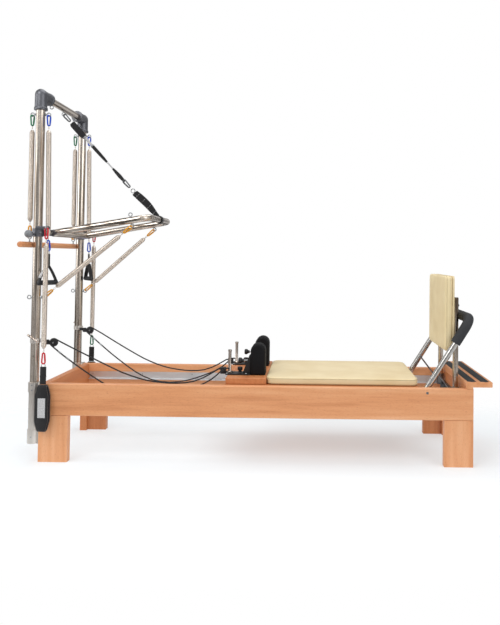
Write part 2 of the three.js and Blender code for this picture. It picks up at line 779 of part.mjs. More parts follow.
// Stirrup handle: ring, band, webbing triangle and grip, turned a little in plan.
function handle(name, side) {
  const apex = -eye_radius - handle_band;
  const bottom = apex - handle_drop;
  const half = grip_length / 2;
  const band = block([handle_band_width, handle_web, handle_band + eye_wire * 2],
    [0, 0, -eye_radius - handle_band / 2]);
  const outline = new THREE.Shape([
    [-half, bottom], [half, bottom], [handle_band_width / 2, apex], [-handle_band_width / 2, apex],
  ].map(([x, z]) => new THREE.Vector2(x, z)));
  const inset = grip_radius;
  outline.holes.push(new THREE.Path([
    [-half + inset * 1.4, bottom + overrun], [0, apex - inset], [half - inset * 1.4, bottom + overrun],
  ].map(([x, z]) => new THREE.Vector2(x, z))));
  const web = solid(along_y(pushed(outline, handle_web)));
  const grip = rod(grip_radius, [-half - overrun, 0, bottom], [half + overrun, 0, bottom], tube_sides);
  const turn_deg = THREE.MathUtils.radToDeg(handle_turn) * -side;
  const body = join(band, web, grip).rotate([0, 0, turn_deg]);
  const place = [right_eye_reach, side * upright_spread, handle_eye_height];
  part(tower, name, join(eye([0, 0, 0], 'y'), body), black_webbing, place);
}

// Padded foot loop: a long ring of padding, pressed flat, on a strap with an eye.
function foot_cuff(name, side) {
  const strap = block([cuff_strap_width, handle_web, cuff_strap + eye_wire * 2],
    [0, 0, -eye_radius - cuff_strap / 2]);
  const outline = rounded_rectangle(cuff_depth, cuff_length, cuff_depth / 2);
  const room = cuff_depth - cuff_wall * 2;
  outline.holes.push(rounded_rectangle(room, cuff_length - cuff_wall * 2, room / 2));
  const pad = solid(along_x(pushed(outline, cuff_width, 0, corner_steps)));
  const centre = -eye_radius - cuff_strap - cuff_length / 2;
  const body = join(eye([0, 0, 0], 'x'), strap, pad.translate([0, 0, centre]));
  part(tower, name, body, black_foam, [leg_spring_reach, side * leg_spring_spread, cuff_eye_height]);
}

// Bent bar with a cross tube at its pivot, pins in the brackets' lugs and eyes on the arms.
const push_bar_eye_x = push_bar_length * push_bar_eye_share;
const push_bar_eye_drop = push_bar_radius + eye_radius + eye_wire;

function push_through_bar() {
  const y = push_bar_spread;
  const corners = [[0, -y, 0], [push_bar_length, -y, 0], [push_bar_length, y, 0], [0, y, 0]];
  const bow = solid(swept(bent(corners, push_bar_bend), push_bar_radius, tube_sides));
  const pin_end = y + push_bar_radius + lug_gap + lug_thickness + overrun;
  const pieces = [bow, rod(push_bar_radius, [0, -y, 0], [0, y, 0], tube_sides)];
  for (const [, side] of sides) {
    const x = push_bar_eye_x;
    pieces.push(rod(push_bar_radius, [0, side * y, 0], [0, side * (y + push_bar_radius + lug_gap - fit_gap), 0], tube_sides));
    pieces.push(rod(pivot_pin_radius, [0, 0, 0], [0, side * pin_end, 0], tube_sides));
    const rise = push_bar_eye_drop - eye_radius;
    pieces.push(rod(shank_radius, [x, side * y, -rise], [x, side * y, rise]));
    pieces.push(eye([x, side * y, -push_bar_eye_drop], 'y'));
    pieces.push(eye([x, side * y, push_bar_eye_drop], 'y'));
  }
  part(push_bar, 'push_through_bar', join(pieces), steel);
}

// Strap from the crossbar's middle eye down to a padded loop round the end of the push-through bar.
function safety_strap() {
  const cos = Math.cos(push_bar_rise);
  const sin = Math.sin(push_bar_rise);
  const bar = new THREE.Vector3(push_bar_reach + push_bar_length * cos, 0, push_bar_height + push_bar_length * sin);
  const hook = new THREE.Vector3(0, 0, crossbar_height - crossbar_radius - eye_radius - eye_wire);
  const way = bar.clone().sub(hook);
  const span = way.length();
  way.normalize();
  const loop_inner = push_bar_radius + run_gap;
  const loop_outer = loop_inner + strap_thickness;
  const strap_end = span - loop_inner - strap_thickness / 2;
  const hook_end = eye_hang + link_length - link_wire / 2;
  const pad_start = strap_end - span * strap_pad_share;
  const thin_start = pad_start - span * strap_thin_share;
  const flat = (width, thickness, from, to) => block([thickness, width, to - from], [0, 0, (from + to) / 2]);
  const loop = solid(turned([
    [loop_outer, -strap_pad_width / 2], [loop_outer, strap_pad_width / 2], [loop_inner, strap_pad_width / 2],
    [loop_inner, -strap_pad_width / 2], [loop_outer, -strap_pad_width / 2],
  ]).rotateX(Math.PI / 2).translate(0, 0, span));
  const body = join(
    solid(snap_link().rotateZ(Math.PI / 2).translate(0, 0, eye_hang)),
    flat(strap_width, strap_thickness, hook_end - overrun, thin_start + overrun),
    flat(strap_thin_width, strap_thickness, thin_start, pad_start + overrun),
    flat(strap_pad_width, strap_pad_thickness, pad_start, strap_end), loop);
  const mesh = part(tower, 'safety_strap', body, black_webbing, hook.toArray());
  mesh.quaternion.setFromUnitVectors(new THREE.Vector3(0, 0, 1), way);
}

for (const [name, side] of sides) {
  upright(`upright_${name}`, side);
  upright_clamp(`upright_clamp_${name}`, side);
  top_elbow(`top_elbow_${name}`, side);
  push_bar_bracket(`push_bar_bracket_${name}`, side);
  pulley_bracket(`pulley_bracket_${name}`, side);
  pulley(`pulley_${name}`, side);
  handle(`handle_${name}`, side);
  foot_cuff(`foot_cuff_${name}`, side);
  const y = side * upright_spread;
  const quarter = Math.PI / 2;
  tension_spring(tower, `left_spring_${name}`, [-left_eye_reach, y, arm_eye_height],
    [-left_eye_reach, y, dowel_eye_height], link_length * 2, link_length * 1.5, quarter);
  tension_spring(tower, `handle_spring_${name}`, [right_eye_reach, y, arm_eye_height],
    [right_eye_reach, y, handle_eye_height], link_length * 2, link_length * 1.7, quarter);
  const leg_y = side * leg_spring_spread;
  tension_spring(tower, `leg_spring_${name}`, [leg_spring_reach, leg_y, leg_spring_eye_height],
    [leg_spring_reach, leg_y, cuff_eye_height], link_length * 1.7, link_length * 1.7);
  const along = new THREE.Vector3(push_bar_eye_x, side * push_bar_spread, -push_bar_eye_drop);
  along.applyEuler(push_bar.rotation).add(push_bar.position);
  tension_spring(tower, `push_bar_spring_${name}`, [bar_eye_reach, y, bar_eye_height],
    along.toArray(), link_length * 1.2, link_length * 1.2, quarter);
}
crossbar();
pull_pin();
roll_down_bar();
push_through_bar();
safety_strap();

// Ropes: from the carriage cleat over the pulley and back along the frame to the post.
function rope(name, side) {
  const centre = [tower_x + pulley_reach, pulley_spread, pulley_height];
  const wrap = [];
  for (let i = 0; i <= rope_wrap_steps; i += 1) {
    const angle = rope_wrap_start + (rope_wrap_end - rope_wrap_start) * i / rope_wrap_steps;
    const r = rope_groove_radius;
    wrap.push([centre[0] + r * Math.cos(angle), centre[1], centre[2] + r * Math.sin(angle)]);
  }
  const route = [...rope_to_pulley, ...wrap, ...rope_from_pulley].map(([x, y, z]) => [x, side * y, z]);
  part(unit, name, solid(swept(route, rope_radius, 8)), black_webbing);
}

// Carriage
function carriage_base() {
  const length = pad_foot - carriage_head;
  const middle = (pad_foot + carriage_head) / 2;
  const board = block([length, carriage_half_width * 2, base_thickness],
    [middle, 0, rail_top - base_thickness / 2]);
  const bearings = [];
  const bores = [];
  const drop = rail_top - base_thickness - wheel_height + wheel_axle_radius * 2;
  for (const x of [carriage_head + axle_inset, pad_foot - axle_inset]) {
    for (const [, side] of sides) {
      bearings.push(block([bearing_length, bearing_width, drop + overrun],
        [x, side * bearing_spread, rail_top - base_thickness - drop / 2 + overrun / 2]));
    }
    bores.push(rod(wheel_axle_radius + fit_gap, [x, -carriage_half_width, wheel_height],
      [x, carriage_half_width, wheel_height], tube_sides));
  }
  const hook_x = foot_board_inner - spring_hook_reach - carriage_spring_length;
  for (const [, side] of sides) {
    const y = side * carriage_spring_spread;
    const rise = rail_top - base_thickness;
    bearings.push(rod(shank_radius, [hook_x, y, rise + overrun], [hook_x, y, carriage_spring_height + eye_radius]));
    bearings.push(eye([hook_x, y, carriage_spring_height], 'y'));
  }
  part(carriage, 'carriage_base', cut(join(board, bearings), bores), ply);
}

function wheel_set(name, x) {
  const half = carriage_half_width - wheel_width / 4;
  const tread = wheel_width;
  const outline = [[0, -half]];
  outline.push([wheel_radius, -half], [wheel_radius, -half + tread], [wheel_axle_radius, -half + tread]);
  outline.push([wheel_axle_radius, half - tread], [wheel_radius, half - tread], [wheel_radius, half], [0, half]);
  part(carriage, name, solid(turned(outline).rotateX(Math.PI / 2)), black_plastic, [x, 0, wheel_height]);
}

function head_board() {
  const length = pad_head - fit_gap - carriage_head;
  const shape = rounded_rectangle(length, carriage_half_width * 2, edge_round * 2);
  const board = solid(pushed(shape, head_board_thickness, edge_round / 2));
  const middle = carriage_head + length / 2;
  const centre_z = deck_bottom + head_board_thickness / 2;
  const holes = sides.map(([, side]) => rod(peg_radius + fit_gap,
    [rest_middle - middle, side * rest_spread, head_board_thickness / 2 - peg_depth - fit_gap],
    [rest_middle - middle, side * rest_spread, head_board_thickness / 2 + overrun], tube_sides));
  part(carriage, 'head_board', cut(board, holes), beech, [middle, 0, centre_z]);
}

const rest_middle = pad_head - rest_end * 0.4 - rest_length / 2;

function carriage_pad() {
  const length = pad_foot - pad_head;
  const shape = cushion(length, carriage_half_width * 2, pad_thickness, pad_corner, pad_crown, pad_draw, [8, 6, 2]);
  part(carriage, 'carriage_pad', solid(shape), cream_vinyl,
    [pad_head + length / 2, 0, deck_bottom + pad_thickness / 2]);
}

// Padded shoulder rest with an arched top, on a peg in the head board.
function shoulder_rest(name, side) {
  const arch = new THREE.Shape();
  const half = rest_length / 2;
  arch.moveTo(-half, 0);
  arch.lineTo(half, 0);
  arch.lineTo(half, rest_height - half);
  arch.absarc(0, rest_height - half, half, 0, Math.PI, false);
  const pad = solid(along_y(pushed(arch, rest_width, rest_round, corner_steps * 2)));
  const peg = rod(peg_radius, [0, 0, -peg_depth], [0, 0, rest_round * 2], tube_sides);
  part(carriage, name, join(pad, peg), black_foam, [rest_middle, side * rest_spread, head_board_top + fit_gap]);
}

// Plate with the steel rope post, the rope cleat, the adjusting knobs and the rest's back support.
function rope_post(name, side) {
  const plate_start = post_x - post_flange_radius;
  const plate_end = rest_middle - rest_length / 2 - run_gap;
  const top = post_plate_thickness;
  const plate = block([plate_end - plate_start, post_plate_width, top],
    [(plate_start + plate_end) / 2, 0, top / 2]);
  const flange = rod(post_flange_radius, [post_x, 0, 0], [post_x, 0, top * 2], tube_sides);
  const post = rod(post_radius, [post_x, 0, 0], [post_x, 0, post_height], tube_sides);
  const cap = rod(post_radius * 1.2, [post_x, 0, post_height - top], [post_x, 0, post_height], tube_sides);
  const cleat_x = post_x - cleat_reach + cleat_length / 2;
  const cleat = join(
    block([cleat_length, cleat_width, cleat_height], [cleat_x, 0, cleat_height / 2 + fit_gap]),
    block([cleat_reach, cleat_width, top], [post_x - cleat_reach / 2, 0, top / 2]));
  const back_x = plate_end - knob_radius;
  const support = new THREE.Shape([
    [plate_end - knob_length, 0], [plate_end, 0], [plate_end, post_height * 0.8],
    [plate_end - top, post_height * 0.8],
  ].map(([x, z]) => new THREE.Vector2(x, z)));
  const back = solid(along_y(pushed(support, post_plate_width / 2)));
  const knobs = [
    rod(knob_radius, [back_x - knob_length * 1.5, 0, knob_height], [back_x - knob_length / 2, 0, knob_height], rod_sides),
    rod(axle_radius * 1.5, [back_x - knob_length, 0, knob_height], [plate_end - top / 2, 0, knob_height]),
    rod(knob_radius * 0.8, [back_x - knob_length, 0, top - fit_gap], [back_x - knob_length, 0, knob_low_height], rod_sides),
  ];
  part(carriage, name, join(plate, flange, post, cap, cleat, back, knobs), black_plastic,
    [0, side * post_spread, head_board_top + fit_gap]);
}

carriage_base();
head_board();
carriage_pad();
wheel_set('wheel_set_head', carriage_head + axle_inset);
wheel_set('wheel_set_foot', pad_foot - axle_inset);
for (const [name, side] of sides) {
  shoulder_rest(`shoulder_rest_${name}`, side);
  rope_post(`rope_post_${name}`, side);
  rope(`rope_${name}`, side);
}

// Foot end: socket plate, jump board, carriage springs
function socket_plate() {
  const plate_x = foot_board_inner - fit_gap - socket_plate_thickness / 2;
  const half = jump_post_spread + jump_post_radius + sleeve_wall * 2;
  const top = jump_post_foot + sleeve_height - sleeve_wall;
  const bottom = jump_post_foot - sleeve_wall;
  const plate = block([socket_plate_thickness, half * 2, socket_plate_height],
    [plate_x, 0, carriage_spring_height]);
  const pieces = [plate];
  const rooms = [];
  for (const [, side] of sides) {
    const y = side * jump_post_spread;
    const outer = jump_post_radius + fit_gap + sleeve_wall;
    pieces.push(rod(outer, [jump_back, y, bottom], [jump_back, y, top], tube_sides));
    pieces.push(block([plate_x - jump_back, outer, socket_plate_height * 0.8],
      [(plate_x + jump_back) / 2, y, carriage_spring_height]));
    rooms.push(rod(jump_post_radius + fit_gap, [jump_back, y, jump_post_foot - fit_gap],
      [jump_back, y, top + overrun], tube_sides));
    const hook_y = side * carriage_spring_spread;
    const hook_x = foot_board_inner - spring_hook_reach;
    pieces.push(rod(shank_radius, [plate_x, hook_y, carriage_spring_height],
      [hook_x + eye_radius, hook_y, carriage_spring_height]));
    pieces.push(eye([hook_x, hook_y, carriage_spring_height], 'y'));
  }
  part(foot_end, 'socket_plate', cut(join(pieces), rooms), steel);
}

function jump_board() {
  const height = jump_top - jump_bottom;
  const middle = (jump_top + jump_bottom) / 2;
  const board_face = jump_back - jump_post_radius - fit_gap;
  const shape = rounded_rectangle(jump_half_width * 2, height, jump_corner);
  const board = solid(along_x(pushed(shape, jump_board_thickness)));
  const posts = sides.map(([, side]) => rod(jump_post_radius,
    [jump_back, side * jump_post_spread, jump_post_foot], [jump_back, side * jump_post_spread, jump_post_top],
    tube_sides));
  const placed = board.translate([board_face - jump_board_thickness / 2 + fit_gap * 3, 0, middle]);
  part(foot_end, 'jump_board_frame', join(placed, posts), steel);
  const pad = cushion(height, jump_half_width * 2, jump_pad_thickness, jump_corner, pad_crown, pad_draw, [6, 6, 2]);
  const stood = pad.rotateY(-Math.PI / 2);
  part(foot_end, 'jump_board_pad', solid(stood), cream_vinyl,
    [board_face - jump_board_thickness + fit_gap * 2 - jump_pad_thickness / 2, 0, middle]);
}

function carriage_spring(name, side) {
  const y = side * carriage_spring_spread;
  const start = foot_board_inner - spring_hook_reach;
  tension_spring(foot_end, name, [start, y, carriage_spring_height],
    [start - carriage_spring_length, y, carriage_spring_height], link_length * 1.3, link_length * 1.3, Math.PI / 2);
}

socket_plate();
jump_board();
for (const [name, side] of sides) carriage_spring(`carriage_spring_${name}`, side);

// Footbar: a bent tube on bolts through the rails, a foam grip over its top and two props.
const footbar_corners = [
  [0, -footbar_spread, 0], [footbar_length, -footbar_spread, 0],
  [footbar_length, footbar_spread, 0], [0, footbar_spread, 0],
];

function footbar_frame() {
  const tube = solid(swept(bent(footbar_corners, footbar_bend), footbar_radius, tube_sides));
  const pieces = [tube];
  for (const [, side] of sides) {
    pieces.push(rod(footbar_radius, [0, side * (footbar_spread - footbar_radius), 0],
      [0, side * (footbar_spread + footbar_radius), 0], tube_sides));
    pieces.push(rod(footbar_bolt_radius, [0, side * footbar_spread, 0], [0, side * (half_width + overrun), 0], tube_sides));
    pieces.push(rod(strut_radius, [strut_start, side * footbar_spread, 0],
      [strut_start, side * (strut_spread - strut_radius * 2), 0]));
  }
  part(footbar, 'footbar', join(pieces), steel);
}

function footbar_grip() {
  const start = footbar_length * grip_start_share;
  const corners = footbar_corners.map(([x, y, z]) => [x === 0 ? start : x, y, z]);
  const foam = solid(swept(bent(corners, footbar_bend), footbar_radius + grip_wall, tube_sides));
  const room = footbar_corners.map(([x, y, z]) => [x === 0 ? start - overrun : x, y, z]);
  const bore = solid(swept(bent(room, footbar_bend), footbar_radius + fit_gap * 3, tube_sides));
  part(footbar, 'footbar_grip', cut(foam, bore), black_foam);
}

function footbar_strut(name, side) {
  const outer = strut_radius * 2;
  const hub = sleeve(strut_radius + fit_gap, outer, -strut_radius, strut_radius);
  const turned_hub = hub.rotate([90, 0, 0]);
  const angle = strut_drop;
  const way = [Math.cos(angle), 0, Math.sin(angle)];
  const at = (reach) => way.map((share) => share * reach);
  const prop = rod(strut_radius, at(strut_radius + fit_gap * 4), at(strut_length));
  const x = footbar_x + strut_start * Math.cos(footbar_lean);
  const z = footbar_height + strut_start * Math.sin(footbar_lean);
  part(foot_end, name, join(turned_hub, prop), steel, [x, side * strut_spread, z]);
}

footbar_frame();
footbar_grip();
for (const [name, side] of sides) footbar_strut(`footbar_strut_${name}`, side);

// Set the origin under the centre of the footprint.
unit.updateMatrixWorld(true);
const bounds = new THREE.Box3().setFromObject(unit, true);
unit.position.x = -(bounds.min.x + bounds.max.x) / 2;

export default unit;
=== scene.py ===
"""Looks of a pilates tower unit: a beech reformer bed with a half trapeze tower at its head end."""

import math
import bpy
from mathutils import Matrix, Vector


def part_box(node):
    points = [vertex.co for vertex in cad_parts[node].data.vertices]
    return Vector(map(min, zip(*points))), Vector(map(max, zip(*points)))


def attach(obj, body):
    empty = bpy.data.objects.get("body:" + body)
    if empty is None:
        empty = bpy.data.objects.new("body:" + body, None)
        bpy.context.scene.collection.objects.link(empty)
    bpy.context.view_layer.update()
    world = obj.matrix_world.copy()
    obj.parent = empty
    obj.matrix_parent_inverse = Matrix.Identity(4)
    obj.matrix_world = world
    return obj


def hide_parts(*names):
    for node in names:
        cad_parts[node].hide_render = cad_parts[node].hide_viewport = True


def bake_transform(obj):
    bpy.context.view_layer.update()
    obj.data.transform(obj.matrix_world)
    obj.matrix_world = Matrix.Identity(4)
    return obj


bl_info = {
    "name": "Pilates tower unit",
    "version": (1, 0, 0),
    "blender": (4, 5, 0),
    "location": "3D View > Sidebar > Tower unit",
    "description": "Builds the finished surfaces of a reformer bed with a half trapeze tower",
    "category": "Object",
}

import bmesh
import bpy
from bpy.props import FloatProperty, FloatVectorProperty, PointerProperty
from mathutils import Matrix, Vector, noise

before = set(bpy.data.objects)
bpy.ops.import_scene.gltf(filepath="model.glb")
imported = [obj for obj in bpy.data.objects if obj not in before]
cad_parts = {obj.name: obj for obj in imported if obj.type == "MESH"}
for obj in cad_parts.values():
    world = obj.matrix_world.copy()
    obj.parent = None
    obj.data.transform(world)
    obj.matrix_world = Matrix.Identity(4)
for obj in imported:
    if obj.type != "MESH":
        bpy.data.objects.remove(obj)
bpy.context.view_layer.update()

SIDES = (("near", -1), ("far", 1))
X, Y, Z = Vector((1, 0, 0)), Vector((0, 1, 0)), Vector((0, 0, 1))

# Places of the tower, in metres in the row frame. The bore is the inside radius of each fitting on a post.
TOWER_X = -1.2415
POST_Y = 0.318
POST_RADIUS = 0.024
POST_FOOT, POST_TOP = 0.104, 2.0127
CROSSBAR_Z = 2.04
ARM_EYE_Z = 1.93
BAR_EYE_Z = 0.904
EYE_RADIUS, EYE_WIRE = 0.010, 0.003
BAR_PIVOT = Vector((-1.1815, 0, 1.265))
BAR_RISE = math.radians(10.2)
BAR_LENGTH, BAR_Y, BAR_RADIUS, BAR_BEND = 0.549, 0.252, 0.020, 0.062
BAR_ALONG = Vector((math.cos(BAR_RISE), 0, math.sin(BAR_RISE)))
BAR_UP = Vector((-math.sin(BAR_RISE), 0, math.cos(BAR_RISE)))
BAR_EYE_ALONG, BAR_EYE_DROP = 0.4502, 0.033
LEG_SPRING_X, LEG_SPRING_Y, LEG_SPRING_Z = -1.1695, 0.375, 1.292
CUFF_EYE_Z = 0.54
HANDLE_X, HANDLE_EYE_Z = -1.1815, 1.16
DOWEL_X, DOWEL_Z, DOWEL_EYE_Z = -1.2875, 1.197, 1.24
PULLEY = Vector((-1.1515, 0.285, 0.648))
BORE = 0.0243
DECK_Z = 0.4629


def linear(code):
    """An sRGB hex colour as linear red, green, blue and alpha."""
    values = [int(code[i : i + 2], 16) / 255 for i in (0, 2, 4)]
    return [v / 12.92 if v <= 0.04045 else ((v + 0.055) / 1.055) ** 2.4 for v in values] + [1.0]


# Nodes and materials


def put(tree, node, links=None, **settings):
    """Settings name properties or inputs of a node. A link comes from a socket or a node's first output."""
    for name, value in settings.items():
        if hasattr(node, name):
            setattr(node, name, value)
        else:
            node.inputs[name.replace("_", " ")].default_value = value
    for name, source in (links or {}).items():
        tree.links.new(source.outputs[0] if isinstance(source, bpy.types.Node) else source, node.inputs[name])
    return node


def add(tree, kind, links=None, **settings):
    """One new shader node with its settings and links."""
    return put(tree, tree.nodes.new(f"ShaderNode{kind}"), links, **settings)


def ramp(tree, source, stops):
    """A colour ramp over (place, hex) stops."""
    made = add(tree, "ValToRGB", {"Fac": source})
    line = made.color_ramp.elements
    while len(line) < len(stops):
        line.new(0.5)
    for element, (place, code) in zip(line, stops):
        element.position = place
        element.color = linear(code)
    return made


def start(name):
    """A new material's tree, its shader and its object coordinates."""
    material = bpy.data.materials.new(name)
    material.use_nodes = True
    tree = material.node_tree
    return material, tree, tree.nodes["Principled BSDF"], add(tree, "TexCoord").outputs["Object"]


def by_grain(grain, along, across):
    """Pattern scales of the three axes: one value along the grain and another across it."""
    return [along if axis == grain else across for axis in "XYZ"]


def scaled(code, factor, lift=0.0):
    """A hex colour made lighter or darker."""
    return [min(1.0, c * factor + lift) for c in linear(code)[:3]] + [1.0]


def beech(name, grain, shade="warm"):
    """Lacquered beech board: long pinkish flecks along the grain, planed and satin."""
    material, tree, shader, where = start(name)
    layers = []
    # The tone of the planks, their streaks, and ray flecks 1 to 3 mm long that are darker than the ground.
    for along, across, detail, rough in ((0.35, 7.0, 3.0, 0.55), (2.2, 34.0, 8.0, 0.62), (60.0, 420.0, 2.0, 0.5)):
        space = add(tree, "Mapping", {"Vector": where}, Scale=by_grain(grain, along, across))
        layers.append(add(tree, "TexNoise", {"Vector": space}, Scale=1.0, Detail=detail, Roughness=rough))
    tone, streak, fleck = layers
    both = add(tree, "Math", {0: streak, 1: tone}, operation="ADD")
    half = add(tree, "Math", {0: both}, operation="MULTIPLY")
    half.inputs[1].default_value = 0.5
    # The shaded stops are the same beech made darker: painted shade for boards that stand in shade.
    stops = {
        "warm": ((0.30, "C07A4C"), (0.46, "DB9766"), (0.56, "E2A374"), (0.70, "EBB389")),
        "shaded": ((0.30, "A85F34"), (0.46, "C07645"), (0.56, "CB8350"), (0.70, "D99562")),
    }[shade]
    dark = ramp(tree, fleck, ((0.30, "B9805A"), (0.42, "FFFFFF")))
    colour = add(tree, "Mix", {"A": ramp(tree, half, stops).outputs[0], "B": dark}, data_type="RGBA",
                 blend_type="MULTIPLY", Factor=0.35)
    put(tree, shader, {
        "Base Color": colour.outputs["Result"],
        "Roughness": add(tree, "MapRange", {"Value": streak}, To_Min=0.42, To_Max=0.6),
        "Normal": add(tree, "Bump", {"Height": streak}, Strength=0.12, Distance=0.0006),
    }, Coat_Weight=0.12, Coat_Roughness=0.35)
    return material


def metal(name, code, dark_code, rough, brush=None, brush_size=900.0, grime=18.0, painted_reflection=None):
    """Bare metal: the tone wanders a little, and brushing runs along one axis. Polished tube has long dark streaks of
    painted reflection.
    """
    material, tree, shader, where = start(name)
    brushed = by_grain(brush, brush_size / 200, brush_size)
    space = add(tree, "Mapping", {"Vector": where}, Scale=brushed)
    fine = add(tree, "TexNoise", {"Vector": space}, Scale=1.0, Detail=3.0, Roughness=0.6)
    broad = add(tree, "TexNoise", {"Vector": where}, Scale=grime, Detail=4.0, Roughness=0.55)
    colour = ramp(tree, broad, ((0.32, dark_code), (0.66, code))).outputs[0]
    if painted_reflection:
        # Painted reflection: dark streaks 5 to 15 mm apart run the polished tube's whole length.
        space = add(tree, "Mapping", {"Vector": where}, Scale=by_grain(brush, 1.5, 85.0))
        streak = add(tree, "TexNoise", {"Vector": space}, Scale=1.0, Detail=3.0, Roughness=0.6)
        painted_reflection_lines = ramp(tree, streak, ((0.36, painted_reflection), (0.50, "FFFFFF")))
        colour = add(tree, "Mix", {"A": colour, "B": painted_reflection_lines}, data_type="RGBA", blend_type="MULTIPLY",
                     Factor=1.0).outputs["Result"]
    put(tree, shader, {
        "Base Color": colour,
        "Roughness": add(tree, "MapRange", {"Value": fine}, To_Min=rough * 0.75, To_Max=rough * 1.35),
        "Normal": add(tree, "Bump", {"Height": fine}, Strength=0.012, Distance=0.0001),
    }, Metallic=1.0)
    return material


def moulded(name, code, rough, grit=1500.0, depth=0.25):
    """Moulded plastic or foam skin: fine even grit and slightly uneven gloss."""
    material, tree, shader, where = start(name)
    fine = add(tree, "TexNoise", {"Vector": where}, Scale=grit, Detail=3.0, Roughness=0.6)
    broad = add(tree, "TexNoise", {"Vector": where}, Scale=25.0, Detail=3.0, Roughness=0.5)
    colour = add(tree, "Mix", {"Factor": broad}, data_type="RGBA", A=linear(code), B=scaled(code, 1.5, 0.004))
    put(tree, shader, {
        "Base Color": colour.outputs["Result"],
        "Roughness": add(tree, "MapRange", {"Value": broad}, To_Min=rough * 0.85, To_Max=rough * 1.12),
        "Normal": add(tree, "Bump", {"Height": fine}, Strength=depth, Distance=0.0004),
    })
    return material


def woven(name, code, thread=0.0016, rough=0.85, turn=(0, 0, 0)):
    """Woven webbing or braid, made at twice its real thread spacing so that it shows."""
    material, tree, shader, where = start(name)
    space = add(tree, "Mapping", {"Vector": where}, Scale=(1, 1, 1), Rotation=turn)
    waves_each_metre = 3.14 / (thread * 6.2832)
    warp, weft = (add(tree, "TexWave", {"Vector": space}, bands_direction=direction, Scale=waves_each_metre,
                      Distortion=0.6, Detail=2.0).outputs["Fac"] for direction in ("X", "Z"))
    weave = add(tree, "Math", {0: warp, 1: weft}, operation="MULTIPLY")
    colour = add(tree, "Mix", {"Factor": weave}, data_type="RGBA", A=scaled(code, 0.55), B=scaled(code, 1.7, 0.004))
    put(tree, shader, {
        "Base Color": colour.outputs["Result"],
        "Normal": add(tree, "Bump", {"Height": weave}, Strength=0.5, Distance=0.0006),
    }, Roughness=rough, Sheen_Weight=0.2)
    return material


def vinyl(name, code, dark_code, rough=0.5, gloss=0.5):
    """Upholstery vinyl: calendered leather grain about 1.5 mm wide, soft sheen in the hollows."""
    material, tree, shader, where = start(name)
    cells = add(tree, "TexVoronoi", {"Vector": where}, Scale=650.0, feature="DISTANCE_TO_EDGE")
    broad = add(tree, "TexNoise", {"Vector": where}, Scale=6.0, Detail=4.0, Roughness=0.5)
    fine = add(tree, "TexNoise", {"Vector": where}, Scale=260.0, Detail=4.0, Roughness=0.6)
    height = add(tree, "Math", {0: cells.outputs["Distance"], 1: fine}, operation="ADD")
    put(tree, shader, {
        "Base Color": ramp(tree, broad, ((0.30, dark_code), (0.62, code))),
        "Roughness": add(tree, "MapRange", {"Value": fine}, To_Min=rough * 0.85, To_Max=rough * 1.2),
        "Normal": add(tree, "Bump", {"Height": height}, Strength=0.18, Distance=0.0008),
    }, Specular_IOR_Level=gloss)
    return material


def painted(name, code):
    """Anodised or powder coated snap hook: even colour with a thin gloss."""
    material, tree, shader, where = start(name)
    broad = add(tree, "TexNoise", {"Vector": where}, Scale=120.0, Detail=3.0, Roughness=0.5)
    colour = add(tree, "Mix", {"Factor": broad}, data_type="RGBA", A=scaled(code, 0.7), B=scaled(code, 1.2))
    put(tree, shader, {"Base Color": colour.outputs["Result"]}, Roughness=0.35, Metallic=0.1)
    return material


TUBE = ("D6CCC1", "CBC0B3", 0.19)

